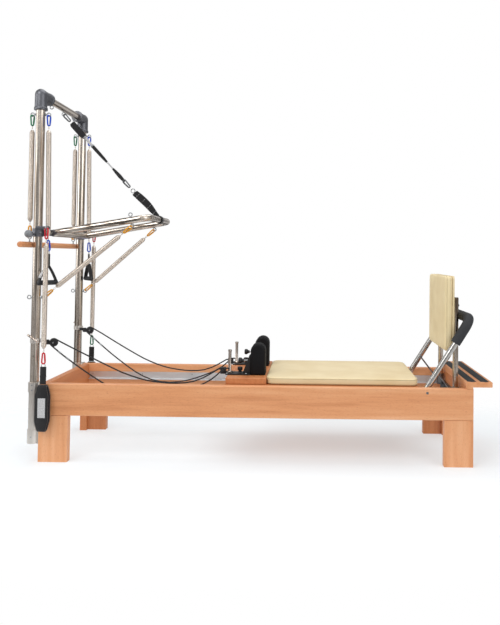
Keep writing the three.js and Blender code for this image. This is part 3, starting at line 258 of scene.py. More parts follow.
# Each finish: the function that makes it, its material's name and its settings.
LOOKS = {
    "beech_x": (beech, "beech_lacquered_grain_along", "X"),
    "beech_y": (beech, "beech_lacquered_grain_across", "Y", "shaded"),
    "beech_z": (beech, "beech_lacquered_grain_upright", "Z"),
    "beech_platform": (beech, "beech_lacquered_platform", "Y"),
    "beech_dowel": (beech, "beech_turned_oiled", "Y"),
    # The head board takes the shaded stops: painted shade.
    "beech_y_head_shaded": (beech, "beech_lacquered_head_board", "Y", "shaded"),
    # The far legs are the same beech with the shaded stops: painted shade.
    "beech_z_far_painted_shade": (beech, "beech_lacquered_upright_painted_shade", "Z", "shaded"),
    "birch": (beech, "birch_ply_oiled", "X", "shaded"),
    # The last colour of each polished tube's finish is the tone of its painted reflection streaks.
    "tube": (metal, "stainless_tube_polished", *TUBE, "Z", 700.0, 14.0, "7A6E64"),
    "tube_y": (metal, "stainless_tube_polished_across", *TUBE, "Y", 700.0, 14.0, "8A7E74"),
    "tube_x": (metal, "stainless_tube_polished_along", *TUBE, "X", 700.0, 14.0, "7A6E64"),
    "spring": (metal, "spring_wire_nickel_plated", "E0D6CB", "D6CBBF", 0.26, None, 1200.0, 8.0),
    "cast": (metal, "aluminium_cast_bead_blasted", "727378", "66676C", 0.4, None, 1400.0, 12.0),
    "socket": (metal, "steel_socket_satin", "DCD6CF", "D2CBC3", 0.36, "Z", 900.0, 12.0),
    "track": (metal, "aluminium_extruded_anodised", "E6E7E8", "D6D8DA", 0.38, "X", 900.0, 9.0),
    "chrome": (metal, "steel_tube_chromed", "DAD9D6", "C6C2BC", 0.14, "Y", 700.0, 14.0),
    # The last colour here is the tone of the post's painted reflection streaks.
    "zinc_bright": (metal, "steel_post_polished", "DCCFC5", "D0C3B8", 0.2, "Z", 700.0, 10.0, "6E6258"),
    "cast_dark": (metal, "steel_plate_black_zinc", "77797B", "5A5C5E", 0.42, None, 1200.0, 30.0),
    "zinc": (metal, "steel_zinc_plated", "B4B6B8", "8E9193", 0.3, None, 900.0, 60.0),
    "foam": (moulded, "nitrile_foam_skinned", "232528", 0.72, 900.0, 0.35),
    "plastic": (moulded, "nylon_moulded_black", "121214", 0.48),
    "knob": (moulded, "phenolic_ball_grey", "6F7276", 0.3, 900.0, 0.1),
    "tread": (moulded, "rubber_anti_slip_strip", "26292B", 0.9, 1100.0, 0.8),
    "webbing": (woven, "nylon_webbing_black", "141416"),
    "neoprene": (woven, "neoprene_padding_black", "17171A", 0.0011, 0.9),
    "rope": (woven, "polyester_rope_braided", "101012", 0.0024, 0.8, (0.6, 0.5, 0.78)),
    "patch": (woven, "satin_patch_pale", "D6D6D8", 0.0009, 0.6),
    "vinyl": (vinyl, "vinyl_cream_calendered", "E6D5AE", "DDC99E"),
    # A lighter copy of the cream vinyl for the jump board's upright face: painted light.
    "vinyl_painted_light": (vinyl, "vinyl_cream_painted_light", "F2E1B6", "E4D0A2"),
    "vinyl_edge": (vinyl, "vinyl_cream_seam", "B9A67C", "A8966C"),
    "panel_edge": (vinyl, "vinyl_cream_panel_wrap", "E4D1A8", "D6C296"),
    "vinyl_black": (vinyl, "vinyl_black_calendered", "131315", "0D0D0F", 0.6, 0.16),
    "green": (painted, "hook_anodised_green", "00764A"),
    "blue": (painted, "hook_anodised_blue", "0C46C0"),
    "red": (painted, "hook_anodised_red", "CE1226"),
    "yellow": (painted, "hook_anodised_yellow", "F0A606"),
}
MADE = {}


def look(name):
    """The finish of that name, made at its first use."""
    if name not in MADE:
        maker, *settings = LOOKS[name]
        MADE[name] = maker(*settings)
    return MADE[name]


# Modelling helpers


def alone(obj=None):
    """Object mode with only that object selected."""
    if bpy.context.object and bpy.context.object.mode != "OBJECT":
        bpy.ops.object.mode_set(mode="OBJECT")
    bpy.ops.object.select_all(action="DESELECT")
    if obj:
        obj.select_set(True)
        bpy.context.view_layer.objects.active = obj
    return obj


def placed(name, data):
    """A new object for that data, linked to the scene."""
    obj = bpy.data.objects.new(name, data)
    bpy.context.scene.collection.objects.link(obj)
    return obj


def finish(obj, name, material, angle=38):
    """Applies the place, names the piece, gives it its finish and shades its soft edges smooth."""
    alone(obj)
    obj.name = name
    obj.data.name = name
    bpy.ops.object.transform_apply(location=True, rotation=True, scale=True)
    bpy.ops.object.shade_smooth_by_angle(angle=math.radians(angle))
    obj.data.materials.clear()
    obj.data.materials.append(look(material))
    return obj


def edit(obj):
    alone(obj)
    bpy.ops.object.mode_set(mode="EDIT")
    bpy.ops.mesh.select_all(action="SELECT")


def outwards():
    """Merges doubles and turns all faces out, then leaves edit mode."""
    bpy.ops.mesh.select_all(action="SELECT")
    bpy.ops.mesh.remove_doubles(threshold=1e-6)
    bpy.ops.mesh.normals_make_consistent(inside=False)
    bpy.ops.object.mode_set(mode="OBJECT")


def block(name, size, centre, material, bevel=0.002, segments=2):
    """A board or plate with worked edges."""
    alone()
    bpy.ops.mesh.primitive_cube_add(size=1, location=(0, 0, 0))
    obj = bpy.context.object
    obj.scale = size
    bpy.ops.object.transform_apply(location=False, rotation=False, scale=True)
    edit(obj)
    bpy.ops.mesh.bevel(offset=bevel, segments=segments, profile=0.6)
    outwards()
    obj.location = centre
    return finish(obj, name, material)


def turned(name, profile, origin, axis, material, steps=32, angle=38):
    """A turned piece: rings of (radius, height) stacked up along the axis from its origin."""
    alone()
    radius, height = profile[0]
    bpy.ops.mesh.primitive_circle_add(vertices=steps, radius=max(radius, 1e-5), location=(0, 0, 0))
    obj = bpy.context.object
    for vertex in obj.data.vertices:
        vertex.co.z = height
    edit(obj)
    closed = profile[0] == profile[-1]
    if not closed and radius > 1e-5:
        bpy.ops.mesh.edge_face_add()
    for (r0, z0), (r1, z1) in zip(profile, profile[1:]):
        bpy.ops.mesh.extrude_edges_move(TRANSFORM_OT_translate={"value": (0, 0, z1 - z0)})
        size = max(r1, 1e-5) / max(r0, 1e-5)
        bpy.ops.transform.resize(value=(size, size, 1), center_override=(0, 0, z1))
    if not closed and profile[-1][0] > 1e-5:
        bpy.ops.mesh.edge_face_add()
    outwards()
    obj.data.transform(Z.rotation_difference(Vector(axis)).to_matrix().to_4x4())
    obj.location = origin
    return finish(obj, name, material, angle)


def tube(name, points, radius, material, sides=20, closed=False, angle=60):
    """A bar, rope or wire along points."""
    curve = bpy.data.curves.new(name, "CURVE")
    curve.dimensions = "3D"
    curve.bevel_depth = radius
    curve.bevel_resolution = max(0, sides // 4 - 1)
    curve.use_fill_caps = not closed
    curve.twist_mode = "MINIMUM"
    spline = curve.splines.new("POLY")
    spline.points.add(len(points) - 1)
    for place, point in zip(spline.points, points):
        place.co = (*point, 1)
    spline.use_cyclic_u = closed
    obj = placed(name, curve)
    alone(obj)
    bpy.ops.object.convert(target="MESH")
    obj = bpy.context.object
    edit(obj)
    outwards()
    return finish(obj, name, material, angle)


def pushed(name, outline, depth, axis, origin, material, bevel=0.002, segments=3, across=None):
    """An outline in the plane of two axes, pushed both ways along the third and rolled at its edges."""
    mesh = bpy.data.meshes.new(name)
    u_axis, v_axis = across or {"X": (Y, Z), "Y": (X, Z), "Z": (X, Y)}[axis]
    normal = u_axis.cross(v_axis)
    half = normal * depth / 2
    points = [u_axis * u + v_axis * v - half for u, v in outline]
    mesh.from_pydata([tuple(p) for p in points], [], [tuple(range(len(points)))])
    obj = placed(name, mesh)
    edit(obj)
    bpy.ops.mesh.extrude_region_move(TRANSFORM_OT_translate={"value": tuple(normal * depth)})
    bpy.ops.mesh.select_all(action="SELECT")
    bpy.ops.mesh.normals_make_consistent(inside=False)
    if bevel:
        rim_of(obj, normal)
        bpy.ops.mesh.bevel(offset=bevel, segments=segments, profile=0.6)
    outwards()
    obj.location = origin
    return finish(obj, name, material)


def rim_of(obj, normal):
    """Selects the edges between the two flat faces across the normal and their sides."""
    bpy.ops.mesh.select_mode(type="EDGE")
    bpy.ops.mesh.select_all(action="DESELECT")
    shape = bmesh.from_edit_mesh(obj.data)
    for edge in shape.edges:
        flat = [abs(face.normal.dot(normal)) > 0.99 for face in edge.link_faces]
        edge.select_set(len(flat) == 2 and flat[0] != flat[1])
    bmesh.update_edit_mesh(obj.data)


def joined(name, *pieces):
    """Several pieces as one object; each keeps its own finish."""
    alone(pieces[0])
    for piece in pieces:
        piece.select_set(True)
    bpy.context.view_layer.objects.active = pieces[0]
    bpy.ops.object.join()
    obj = bpy.context.object
    obj.name = name
    obj.data.name = name
    return obj


def settle(obj, body, slot, *nodes):
    """The piece rides on its body and stands for its nodes. The slot is not used."""
    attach(obj, body)
    if nodes:
        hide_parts(*nodes)
    return obj


def arc(centre, u_axis, v_axis, radius, first, last, steps):
    """Points along an arc between two angles."""
    out = []
    for i in range(steps + 1):
        angle = first + (last - first) * i / steps
        out.append(Vector(centre) + u_axis * radius * math.cos(angle) + v_axis * radius * math.sin(angle))
    return out


def rounded(corners, bend, steps=8):
    """Points with each inner corner turned into an arc."""
    points = [Vector(c) for c in corners]
    out = [points[0]]
    for before, here, after in zip(points, points[1:], points[2:]):
        back, ahead = (before - here).normalized(), (after - here).normalized()
        half = back.angle(ahead) / 2
        centre = here + (back + ahead).normalized() * bend / math.sin(half)
        spoke = here + back * bend / math.tan(half) - centre
        axis = spoke.cross(here - centre).normalized()
        for i in range(steps + 1):
            turn = Matrix.Rotation((math.pi - half * 2) * i / steps, 3, axis)
            out.append(centre + turn @ spoke)
    return out + [points[-1]]


def oblong(width, height, corner, steps=6):
    """A rectangle with round corners, as 2D points."""
    out = []
    for turn, (sx, sy) in enumerate(((1, 1), (-1, 1), (-1, -1), (1, -1))):
        for i in range(steps + 1):
            angle = (turn + i / steps) * math.pi / 2
            out.append((sx * (width / 2 - corner) + corner * math.cos(angle),
                        sy * (height / 2 - corner) + corner * math.sin(angle)))
    return out


def circle(centre, u_axis, v_axis, radius, count=20):
    """Points round a closed circle."""
    return arc(centre, u_axis, v_axis, radius, 0, 2 * math.pi * (count - 1) / count, count - 1)


def ring(name, centre, u_axis, v_axis, material):
    """A welded eye of round wire."""
    return tube(name, circle(centre, u_axis, v_axis, EYE_RADIUS, 24), EYE_WIRE, material, 12, True)


def drum(radius, height):
    """The profile of a plain disc or stud, for turned()."""
    return ((0.0, 0.0), (radius, 0.0), (radius, height), (0.0, height))


def smooth_copy(name, node, material, angle=40):
    """A CAD node's own shape with merged corners, smooth round its barrels."""
    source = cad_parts[node]
    obj = placed(name, source.data.copy())
    edit(obj)
    outwards()
    return finish(obj, name, material, angle)


def dress(material, *nodes):
    """Gives CAD nodes that stay in view their finish."""
    for node in nodes:
        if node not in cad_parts:
            raise RuntimeError(f"the part has no node {node}")
        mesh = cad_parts[node].data
        mesh.materials.clear()
        mesh.materials.append(look(material))


def pair(node):
    """The near and far node of that name."""
    return [f"{node}_{name}" for name, _ in SIDES]


def ribbon(name, points, across, widths, thickness, material, closed=False):
    """Flat webbing along points. Across is its width's direction, and widths has one value a point."""
    section = [(-1, -0.6), (-0.9, -1), (0.9, -1), (1, -0.6), (1, 0.6), (0.9, 1), (-0.9, 1), (-1, 0.6)]
    across = Vector(across).normalized()
    count = len(points)
    verts, faces = [], []
    for i, point in enumerate(points):
        before = points[(i - 1) % count] if closed else points[max(i - 1, 0)]
        after = points[(i + 1) % count] if closed else points[min(i + 1, count - 1)]
        normal = (Vector(after) - Vector(before)).normalized().cross(across).normalized()
        for u, v in section:
            verts.append(Vector(point) + across * u * widths[i] / 2 + normal * v * thickness / 2)
    ring_size = len(section)
    for i in range(count if closed else count - 1):
        a, b = i * ring_size, ((i + 1) % count) * ring_size
        for k in range(ring_size):
            n = (k + 1) % ring_size
            faces.append((a + k, a + n, b + n, b + k))
    if not closed:
        faces.append(tuple(range(ring_size)))
        faces.append(tuple(reversed(range((count - 1) * ring_size, count * ring_size))))
    mesh = bpy.data.meshes.new(name)
    mesh.from_pydata([tuple(v) for v in verts], [], faces)
    obj = placed(name, mesh)
    edit(obj)
    outwards()
    return finish(obj, name, material, 50)


def smooth_line(points, steps=8):
    """Points of a smooth line through the given ones."""
    points = [Vector(p) for p in points]
    out = []
    for i in range(len(points) - 1):
        p0, p1 = points[max(i - 1, 0)], points[i]
        p2, p3 = points[i + 1], points[min(i + 2, len(points) - 1)]
        for k in range(steps):
            t = k / steps
            out.append(0.5 * (2 * p1 + (p2 - p0) * t + (2 * p0 - 5 * p1 + 4 * p2 - p3) * t * t
                              + (3 * p1 - p0 - 3 * p2 + p3) * t * t * t))
    return out + [points[-1]]


def spaced(length, roll, step=0.02):
    """Places across a cushion, closer together where its edges roll over."""
    half = length / 2
    edge = [half - roll * (1 - math.cos(i / 4 * math.pi / 2)) for i in range(5)]
    inner = max(2, round((half - roll) * 2 / step))
    middle = [(half - roll) * (1 - 2 * i / inner) for i in range(1, inner)]
    return [-e for e in edge] + [-m for m in middle] + edge[::-1]


def cushion(name, size, corner, roll, crown, material, turn=None, centre=(0, 0, 0)):
    """A padded slab: rolled edges, a crowned face and the small waves of stretched vinyl."""
    length, width, thick = size
    xs, ys = spaced(length, roll), spaced(width, roll)
    alone()
    bpy.ops.mesh.primitive_grid_add(x_subdivisions=len(xs) - 1, y_subdivisions=len(ys) - 1, size=2,
                                    location=(0, 0, 0))
    obj = bpy.context.object
    for vertex in obj.data.vertices:
        i = round((vertex.co.x + 1) / 2 * (len(xs) - 1))
        j = round((vertex.co.y + 1) / 2 * (len(ys) - 1))
        vertex.co = (xs[i], ys[j], -1)
    edit(obj)
    bpy.ops.mesh.extrude_region_move(TRANSFORM_OT_translate={"value": (0, 0, 2)})
    outwards()
    half_x, half_y = length / 2, width / 2
    inner_x, inner_y = half_x - corner, half_y - corner
    depth = bpy.context.scene.tower_unit.wrinkle
    for vertex in obj.data.vertices:
        x, y, up = vertex.co.x, vertex.co.y, vertex.co.z
        dx, dy = max(abs(x) - inner_x, 0), max(abs(y) - inner_y, 0)
        if dx > 0 and dy > 0:
            squeeze = max(dx, dy) / math.hypot(dx, dy)
            x = math.copysign(inner_x + dx * squeeze, x)
            y = math.copysign(inner_y + dy * squeeze, y)
            inside = corner - max(dx, dy)
        else:
            inside = min(half_x - abs(x), half_y - abs(y))
        near = roll - min(max(inside, 0), roll)
        z = thick / 2 - roll + math.sqrt(max(roll * roll - near * near, 0))
        if up > 0:
            share = (1 - (x / half_x) ** 4) * (1 - (y / half_y) ** 4)
            place = Vector((x * 9, y * 9, thick * 40))
            z += crown * (share - 1) + depth * (noise.noise(place) + 0.4 * noise.noise(place * 4)) * share
            z = min(z, thick / 2)
        vertex.co = (x, y, math.copysign(z, up))
    if turn:
        obj.data.transform(turn)
    obj.location = centre
    return finish(obj, name, material, 75)


# Springs and snap hooks

COIL_RADIUS = 0.0138

# A hook hangs below the middle of its eye, and a spring's end loop reaches on from the hook.
HOOK_LENGTH, HOOK_WIRE, HANG = 0.066, 0.0042, 0.0038
HOOK_TOP, HOOK_FOOT = 0.0092, 0.0062
LOOP_REACH = 0.022
HOOK_TURN = Vector((0.8, 0.6, 0))
HAND_LOOP_TURN = {"near": math.radians(60), "far": math.radians(-52)}
RIGHT_EYE = 0.046


def coil(name, start_point, end_point):
    """Close wound spring whose ends narrow to a small loop."""
    settings = bpy.context.scene.tower_unit
    wire, taper = settings.coil_wire / 2, settings.coil_taper
    start_point, end_point = Vector(start_point), Vector(end_point)
    line = end_point - start_point
    pitch = wire * 2
    turns = max(6, int(line.length / pitch))
    arc_points = [math.radians(a) for a in (-90, -38, 38, 90)]
    verts = [(COIL_RADIUS - wire + wire * math.cos(a), 0, wire + wire * math.sin(a)) for a in arc_points]
    mesh = bpy.data.meshes.new(name)
    mesh.from_pydata(verts, [(0, 1), (1, 2), (2, 3)], [])
    obj = placed(name, mesh)
    alone(obj)
    screw = obj.modifiers.new("Winding", "SCREW")
    screw.axis = "Z"
    screw.screw_offset = line.length / turns
    screw.iterations = turns
    screw.steps = screw.render_steps = 14
    screw.use_merge_vertices = True
    screw.merge_threshold = 1e-5
    bpy.ops.object.modifier_apply(modifier=screw.name)
    for vertex in obj.data.vertices:
        near = min(vertex.co.z, line.length - vertex.co.z) / taper
        share = min(max(near, 0), 1)
        factor = 0.30 + 0.70 * share ** 0.8
        vertex.co.x *= factor
        vertex.co.y *= factor
    edit(obj)
    outwards()
    obj.data.transform(Z.rotation_difference(line.normalized()).to_matrix().to_4x4())
    obj.location = start_point
    return finish(obj, name, "spring", 70)


def snap_hook(name, eye, axis, side, material, length=HOOK_LENGTH):
    """Pear shaped snap hook hanging in an eye: a bent rod, wide at the eye, with its gate and pin."""
    axis, side = Vector(axis).normalized(), Vector(side).normalized()
    side = (side - axis * side.dot(axis)).normalized()
    top = Vector(eye) + axis * (HANG + HOOK_TOP)
    foot = Vector(eye) + axis * (HANG + length - HOOK_WIRE * 2 - HOOK_FOOT)
    path = arc(top, side, -axis, HOOK_TOP, 0, math.pi, 9) + arc(foot, -side, axis, HOOK_FOOT, 0, math.pi, 11)
    body = tube(name, path, HOOK_WIRE, material, 12, True)
    gate_top, gate_foot = top + side * HOOK_TOP, foot + side * HOOK_FOOT
    line = gate_foot - gate_top
    sleeve = tube(f"{name}_gate", [gate_top + line * 0.12, gate_top + line * 0.86], HOOK_WIRE * 1.18, material, 12)
    pin = tube(f"{name}_pin", [gate_foot - line * 0.1 - side.cross(axis) * HOOK_WIRE * 1.3,
                               gate_foot - line * 0.1 + side.cross(axis) * HOOK_WIRE * 1.3], 0.0012, "zinc", 8)
    return joined(name, body, sleeve, pin)


def sprung(name, first, last, side, colours, bodies, node):
    """A spring with a snap hook at each end. Bodies are those of its first and its last end."""
    first, last = Vector(first), Vector(last)
    axis = (last - first).normalized()
    reach = HANG + HOOK_LENGTH + LOOP_REACH * 0.72
    wound = coil(name, first + axis * reach, last - axis * reach)
    across = axis.cross(side)
    loops = []
    for point, way in ((first, axis), (last, -axis)):
        middle = point + way * (HANG + HOOK_LENGTH + LOOP_REACH * 0.18)
        loops.append(tube("loop", circle(middle, across, way, 0.0072), 0.0014, "spring", 8, True))
    wound = joined(name, wound, *loops)
    ends = (
        snap_hook(f"{name}_hook_first", first, axis, side, colours[0]),
        snap_hook(f"{name}_hook_last", last, -axis, side, colours[1]),
    )
    for end, body in zip(ends, bodies):
        settle(end, body, "spring_steel")
    if bodies[0] == bodies[1]:
        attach(wound, bodies[0])
    else:
        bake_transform(wound)
    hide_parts(node)
    return wound


# Pieces


class TowerUnitSettings(bpy.types.PropertyGroup):
    """Sizes and tones that may be changed before the pieces are built."""

    coil_wire: FloatProperty(name="Spring wire", description="Thickness of each spring's wire",
                             default=0.0024, min=0.001, max=0.004, unit="LENGTH")
    coil_taper: FloatProperty(name="Spring taper", description="Length over which a spring narrows at its ends",
                              default=0.016, min=0.005, max=0.12, unit="LENGTH")
    wrinkle: FloatProperty(name="Cushion waves", description="Depth of the waves in the stretched vinyl",
                           default=0.0012, min=0.0, max=0.004, unit="LENGTH")
    backdrop: FloatVectorProperty(name="Backdrop", description="Colour behind the object", subtype="COLOR",
                                  size=4, default=(1.0, 1.0, 1.0, 1.0), min=0.0, max=1.0)
    key_power: FloatProperty(name="Key lamp", description="Power of the large lamp", default=130.0, min=0.0)
    sky: FloatProperty(name="Sky", description="Strength of the light from all round", default=0.75, min=0.0)
    floor_glow: FloatProperty(name="Floor glow", description="How white the floor is in the shade", default=0.40,
                              min=0.0, max=1.0)


class TOWER_OT_wooden_frame(bpy.types.Operator):
    """Beech rails, end boards, legs and platform with its anti slip strips and screws"""

    bl_idname = "tower_unit.wooden_frame"
    bl_label = "Wooden frame"

    def execute(self, context):
        dress("beech_x", *pair("side_rail"))
        dress("beech_y", "end_board_tower", "end_board_foot")
        dress("beech_z", "leg_tower_near", "leg_foot_near")
        # The far legs get a darker copy of the same beech: painted shade.
        dress("beech_z_far_painted_shade", "leg_tower_far", "leg_foot_far")
        dress("beech_platform", "foot_platform")
        dress("track", *pair("track"))
        low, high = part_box("foot_platform")
        strips = []
        for i, (share, wide) in enumerate(((0.24, 0.33), (0.73, 0.32))):
            x = low.x + (high.x - low.x) * share
            size = ((high.x - low.x) * wide, high.y - low.y - 0.012, 0.0016)
            strips.append(block(f"strip_{i}", size, (x, 0, high.z - 0.0003), "tread", 0.0005))
        settle(joined("platform_strips", *strips), "frame_and_tower", "plastic")
        screws = []
        first, step = -1.13, 0.325
        for _, side in SIDES:
            for x in (first + i * step for i in range(8)):
                screws.append(turned("track_screw", ((0.0, 0.0014), (0.0024, 0.0013), (0.004, 0.0002), (0.004, 0.0)),
                                     (x, side * 0.2986, 0.366), (0, -side, 0), "zinc", 16))
        settle(joined("frame_screws", *screws), "frame_and_tower", "steel")
        return {"FINISHED"}


class TOWER_OT_tower_posts(bpy.types.Operator):
    """Polished uprights and crossbar with their welded eyes"""

    bl_idname = "tower_unit.tower_posts"
    bl_label = "Tower posts"

    def execute(self, context):
        for name, side in SIDES:
            y = side * POST_Y
            pieces = [turned("post", ((POST_RADIUS - 0.001, POST_FOOT), (POST_RADIUS, POST_FOOT + 0.001),
                                      (POST_RADIUS, POST_TOP - 0.001), (POST_RADIUS - 0.001, POST_TOP)),
                             (TOWER_X, y, 0), (0, 0, 1), "tube", 40)]
            for z, left, right in ((ARM_EYE_Z, -0.046, RIGHT_EYE), (BAR_EYE_Z, -0.040, 0.040)):
                for reach in (left, right):
                    sign = math.copysign(1, reach)
                    pieces.append(ring("eye", (TOWER_X + reach, y, z), X, Z, "zinc"))
                    pieces.append(tube("shank", [(TOWER_X + reach - sign * 0.010, y, z), (TOWER_X, y, z)],
                                       0.004, "zinc", 12))
                    place = (TOWER_X + sign * (POST_RADIUS - 0.0006), y, z)
                    pieces.append(turned("nut", drum(0.0078, 0.0052), place, (sign, 0, 0), "zinc", 6))
            # Thin black discs stand for the post's holes: painted shade.
            for z in (0.58, 1.05):
                place = (TOWER_X, y + side * (POST_RADIUS - 0.0001), z)
                pieces.append(turned("hole", drum(0.0032, 0.0003), place, (0, side, 0), "plastic", 16))
            settle(joined(f"post_{name}", *pieces), "frame_and_tower", "steel", f"upright_{name}")
        bar = [tube("bar", [(TOWER_X, -0.271, CROSSBAR_Z), (TOWER_X, 0.271, CROSSBAR_Z)], 0.021, "tube_y", 40)]
        for y in (-0.175, 0.0, 0.175):
            bar.append(ring("eye", (TOWER_X, y, 2.006), X, Z, "zinc"))
            bar.append(tube("shank", [(TOWER_X, y, 2.016), (TOWER_X, y, 2.030)], 0.004, "zinc", 12))
        settle(joined("top_bar", *bar), "frame_and_tower", "steel", "crossbar")
        return {"FINISHED"}


class TOWER_OT_cast_fittings(bpy.types.Operator):
    """Cast elbows, clamps and brackets with their set screws"""

    bl_idname = "tower_unit.cast_fittings"
    bl_label = "Cast fittings"

    def execute(self, context):
        for name, side in SIDES:
            y = side * POST_Y
            self.elbow(name, side)
            pieces = [smooth_copy("clamp", f"upright_clamp_{name}", "socket"),
                      turned("socket", ((BORE, 0.173), (0.0276, 0.173), (0.0276, 0.380), (BORE, 0.380),
                                        (BORE, 0.173)), (TOWER_X, y, 0), Z, "socket", 40)]
            for z in (0.136, 0.392, 0.420):
                pieces.append(turned("set_screw", ((0.0, 0.0014), (0.0036, 0.0012), (0.0042, 0.0)),
                                     (TOWER_X, y - 0.0312, z), (0, -1, 0), "zinc", 6))
            settle(joined(f"clamp_{name}", *pieces), "frame_and_tower", "cast_aluminium", f"upright_clamp_{name}")
            self.sheave_bracket(name, side)
            self.bar_bracket(name, side)
        ball = Vector((-1.2646, -0.3815, 1.256))
        away = Vector((ball.x - TOWER_X, ball.y + POST_Y, 0)).normalized()
        pin = smooth_copy("pin_shank", "pull_pin", "zinc")
        reach = [(math.sin(a) * 0.0219, -math.cos(a) * 0.0219) for a in
                 (math.radians(d) for d in range(24, 181, 12))]
        knob = turned("pin_ball", reach, ball, away, "knob", 36)
        collar = turned("pin_collar", ((0.009, -0.0225), (0.0115, -0.022), (0.0115, -0.016), (0.009, -0.0150)),
                        ball, away, "plastic", 28)
        settle(joined("locking_pin", pin, knob, collar), "locking_pin", "plastic", "pull_pin")
        return {"FINISHED"}

    def elbow(self, name, side):
        """Domed elbow: a socket on the upright and one along the crossbar, each with a lip and set screws."""
        y = side * POST_Y
        dome = [(0.033 * math.cos(a), 0.036 * math.sin(a)) for a in (math.radians(6 * i) for i in range(1, 15))]
        down = [(BORE, -0.085), (0.0355, -0.085), (0.0363, -0.0835), (0.0363, -0.0725), (0.0350, -0.0705),
                (0.0332, -0.0690), (0.0330, 0.0), *dome, (0.0, 0.036)]
        inward = [(0.0, 0.0), (0.0330, 0.002), (0.0330, 0.089), (0.0350, 0.0905), (0.0363, 0.0925), (0.0363, 0.1035),
                  (0.0355, 0.105), (0.0213, 0.105)]
        pieces = [turned("down", down, (TOWER_X, y, CROSSBAR_Z), Z, "cast", 48),
                  turned("inward", inward, (TOWER_X, y, CROSSBAR_Z), (0, -side, 0), "cast", 48)]
        lip, away = 0.0361, 0.784
        # Thin black discs stand for the set screws' holes in the lips: painted shade.
        for across in (-0.62, 0.62):
            x = TOWER_X + lip * across
            for place, axis in (((x, y - lip * away, 1.9625), (across, -away, 0)),
                                ((x, side * 0.2205, CROSSBAR_Z - lip * away), (across, 0, -away))):
                pieces.append(turned("screw_hole", drum(0.0034, 0.0006), place, axis, "plastic", 12))
        settle(joined(f"elbow_{name}", *pieces), "frame_and_tower", "cast_aluminium", f"top_elbow_{name}")

    def sheave_bracket(self, name, side):
        """Collar with a chrome stud outside and two black cheeks that hold the pulley's axle."""
        y = side * POST_Y
        collar = turned("collar", ((0.0262, -0.012), (0.0272, -0.0108), (0.0272, 0.0108), (0.0262, 0.012),
                                   (BORE, 0.012), (BORE, -0.012), (0.0262, -0.012)), (TOWER_X, y, 0.662), Z,
                        "socket", 40)
        pieces = [collar, block("bridge", (0.040, 0.0185, 0.016), (TOWER_X + 0.043, side * 0.2885, 0.656),
                                "plastic", 0.002)]
        for sign in (-1, 1):
            pieces.append(pushed("cheek", [(u + 0.072, v) for u, v in oblong(0.056, 0.021, 0.0104, 6)], 0.0026, "Y",
                                 (TOWER_X, side * PULLEY.y + sign * 0.0086, PULLEY.z), "plastic", 0.0006))
            pieces.append(turned("axle_head", ((0.0, 0.0032), (0.0038, 0.003), (0.0052, 0.0008), (0.0052, 0.0)),
                                 (PULLEY.x, side * PULLEY.y + sign * 0.0099, PULLEY.z), (0, sign, 0), "zinc", 20))
        low = Vector((TOWER_X + 0.022, y + side * 0.026, 0.660))
        high = Vector((TOWER_X - 0.043, y + side * 0.017, 0.700))
        line = high - low
        profile = [(0.0, 0.0)]
        for i in range(9):
            at = line.length * (0.06 + i * 0.1)
            profile += [(0.0056, at - 0.0022), (0.0064, at - 0.0012), (0.0064, at + 0.0012), (0.0056, at + 0.0022)]
        profile.append((0.0, line.length * 0.9))
        pieces.append(turned("stud", profile, low, line.normalized(), "zinc_bright", 20))
        settle(joined(f"sheave_bracket_{name}", *pieces), "frame_and_tower", "cast_aluminium",
               f"pulley_bracket_{name}")

    def bar_bracket(self, name, side):
        """Collar on the upright, lug for the bar's pivot and outer arm with its eye."""
        y = side * POST_Y
        collar = turned("collar", ((0.0272, -0.023), (0.0284, -0.0215), (0.0284, 0.0215), (0.0272, 0.023),
                                   (BORE, 0.023), (BORE, -0.023), (0.0272, -0.023)), (TOWER_X, y, BAR_PIVOT.z), Z,
                        "cast", 40)
        lug = pushed("lug", [(u + 0.053, v) for u, v in oblong(0.062, 0.034, 0.0165, 6)], 0.0136, "Y",
                     (TOWER_X, side * 0.2822, BAR_PIVOT.z), "cast", 0.0015)
        arm = pushed("arm", [(u + 0.040, v) for u, v in oblong(0.080, 0.016, 0.006, 4)], 0.0085, "Y",
                     (TOWER_X, side * 0.3513, LEG_SPRING_Z), "cast", 0.0012)
        eye = ring("eye", (LEG_SPRING_X, side * LEG_SPRING_Y, LEG_SPRING_Z), Y, Z, "zinc")
        stub = tube("stub", [(LEG_SPRING_X, side * reach, LEG_SPRING_Z) for reach in (0.3555, 0.366)], 0.004,
                    "zinc", 12)
        clamp = block("clamp_ear", (0.016, 0.03, 0.040), (TOWER_X + 0.026, side * 0.300, BAR_PIVOT.z), "cast", 0.003)
        ridge = tube("bolt", [(TOWER_X + 0.028, y + side * reach, BAR_PIVOT.z) for reach in (0.022, 0.034)], 0.0045,
                     "zinc", 12)
        settle(joined(f"bar_bracket_{name}", collar, lug, arm, eye, stub, clamp, ridge), "frame_and_tower",
               "cast_aluminium", f"push_bar_bracket_{name}")


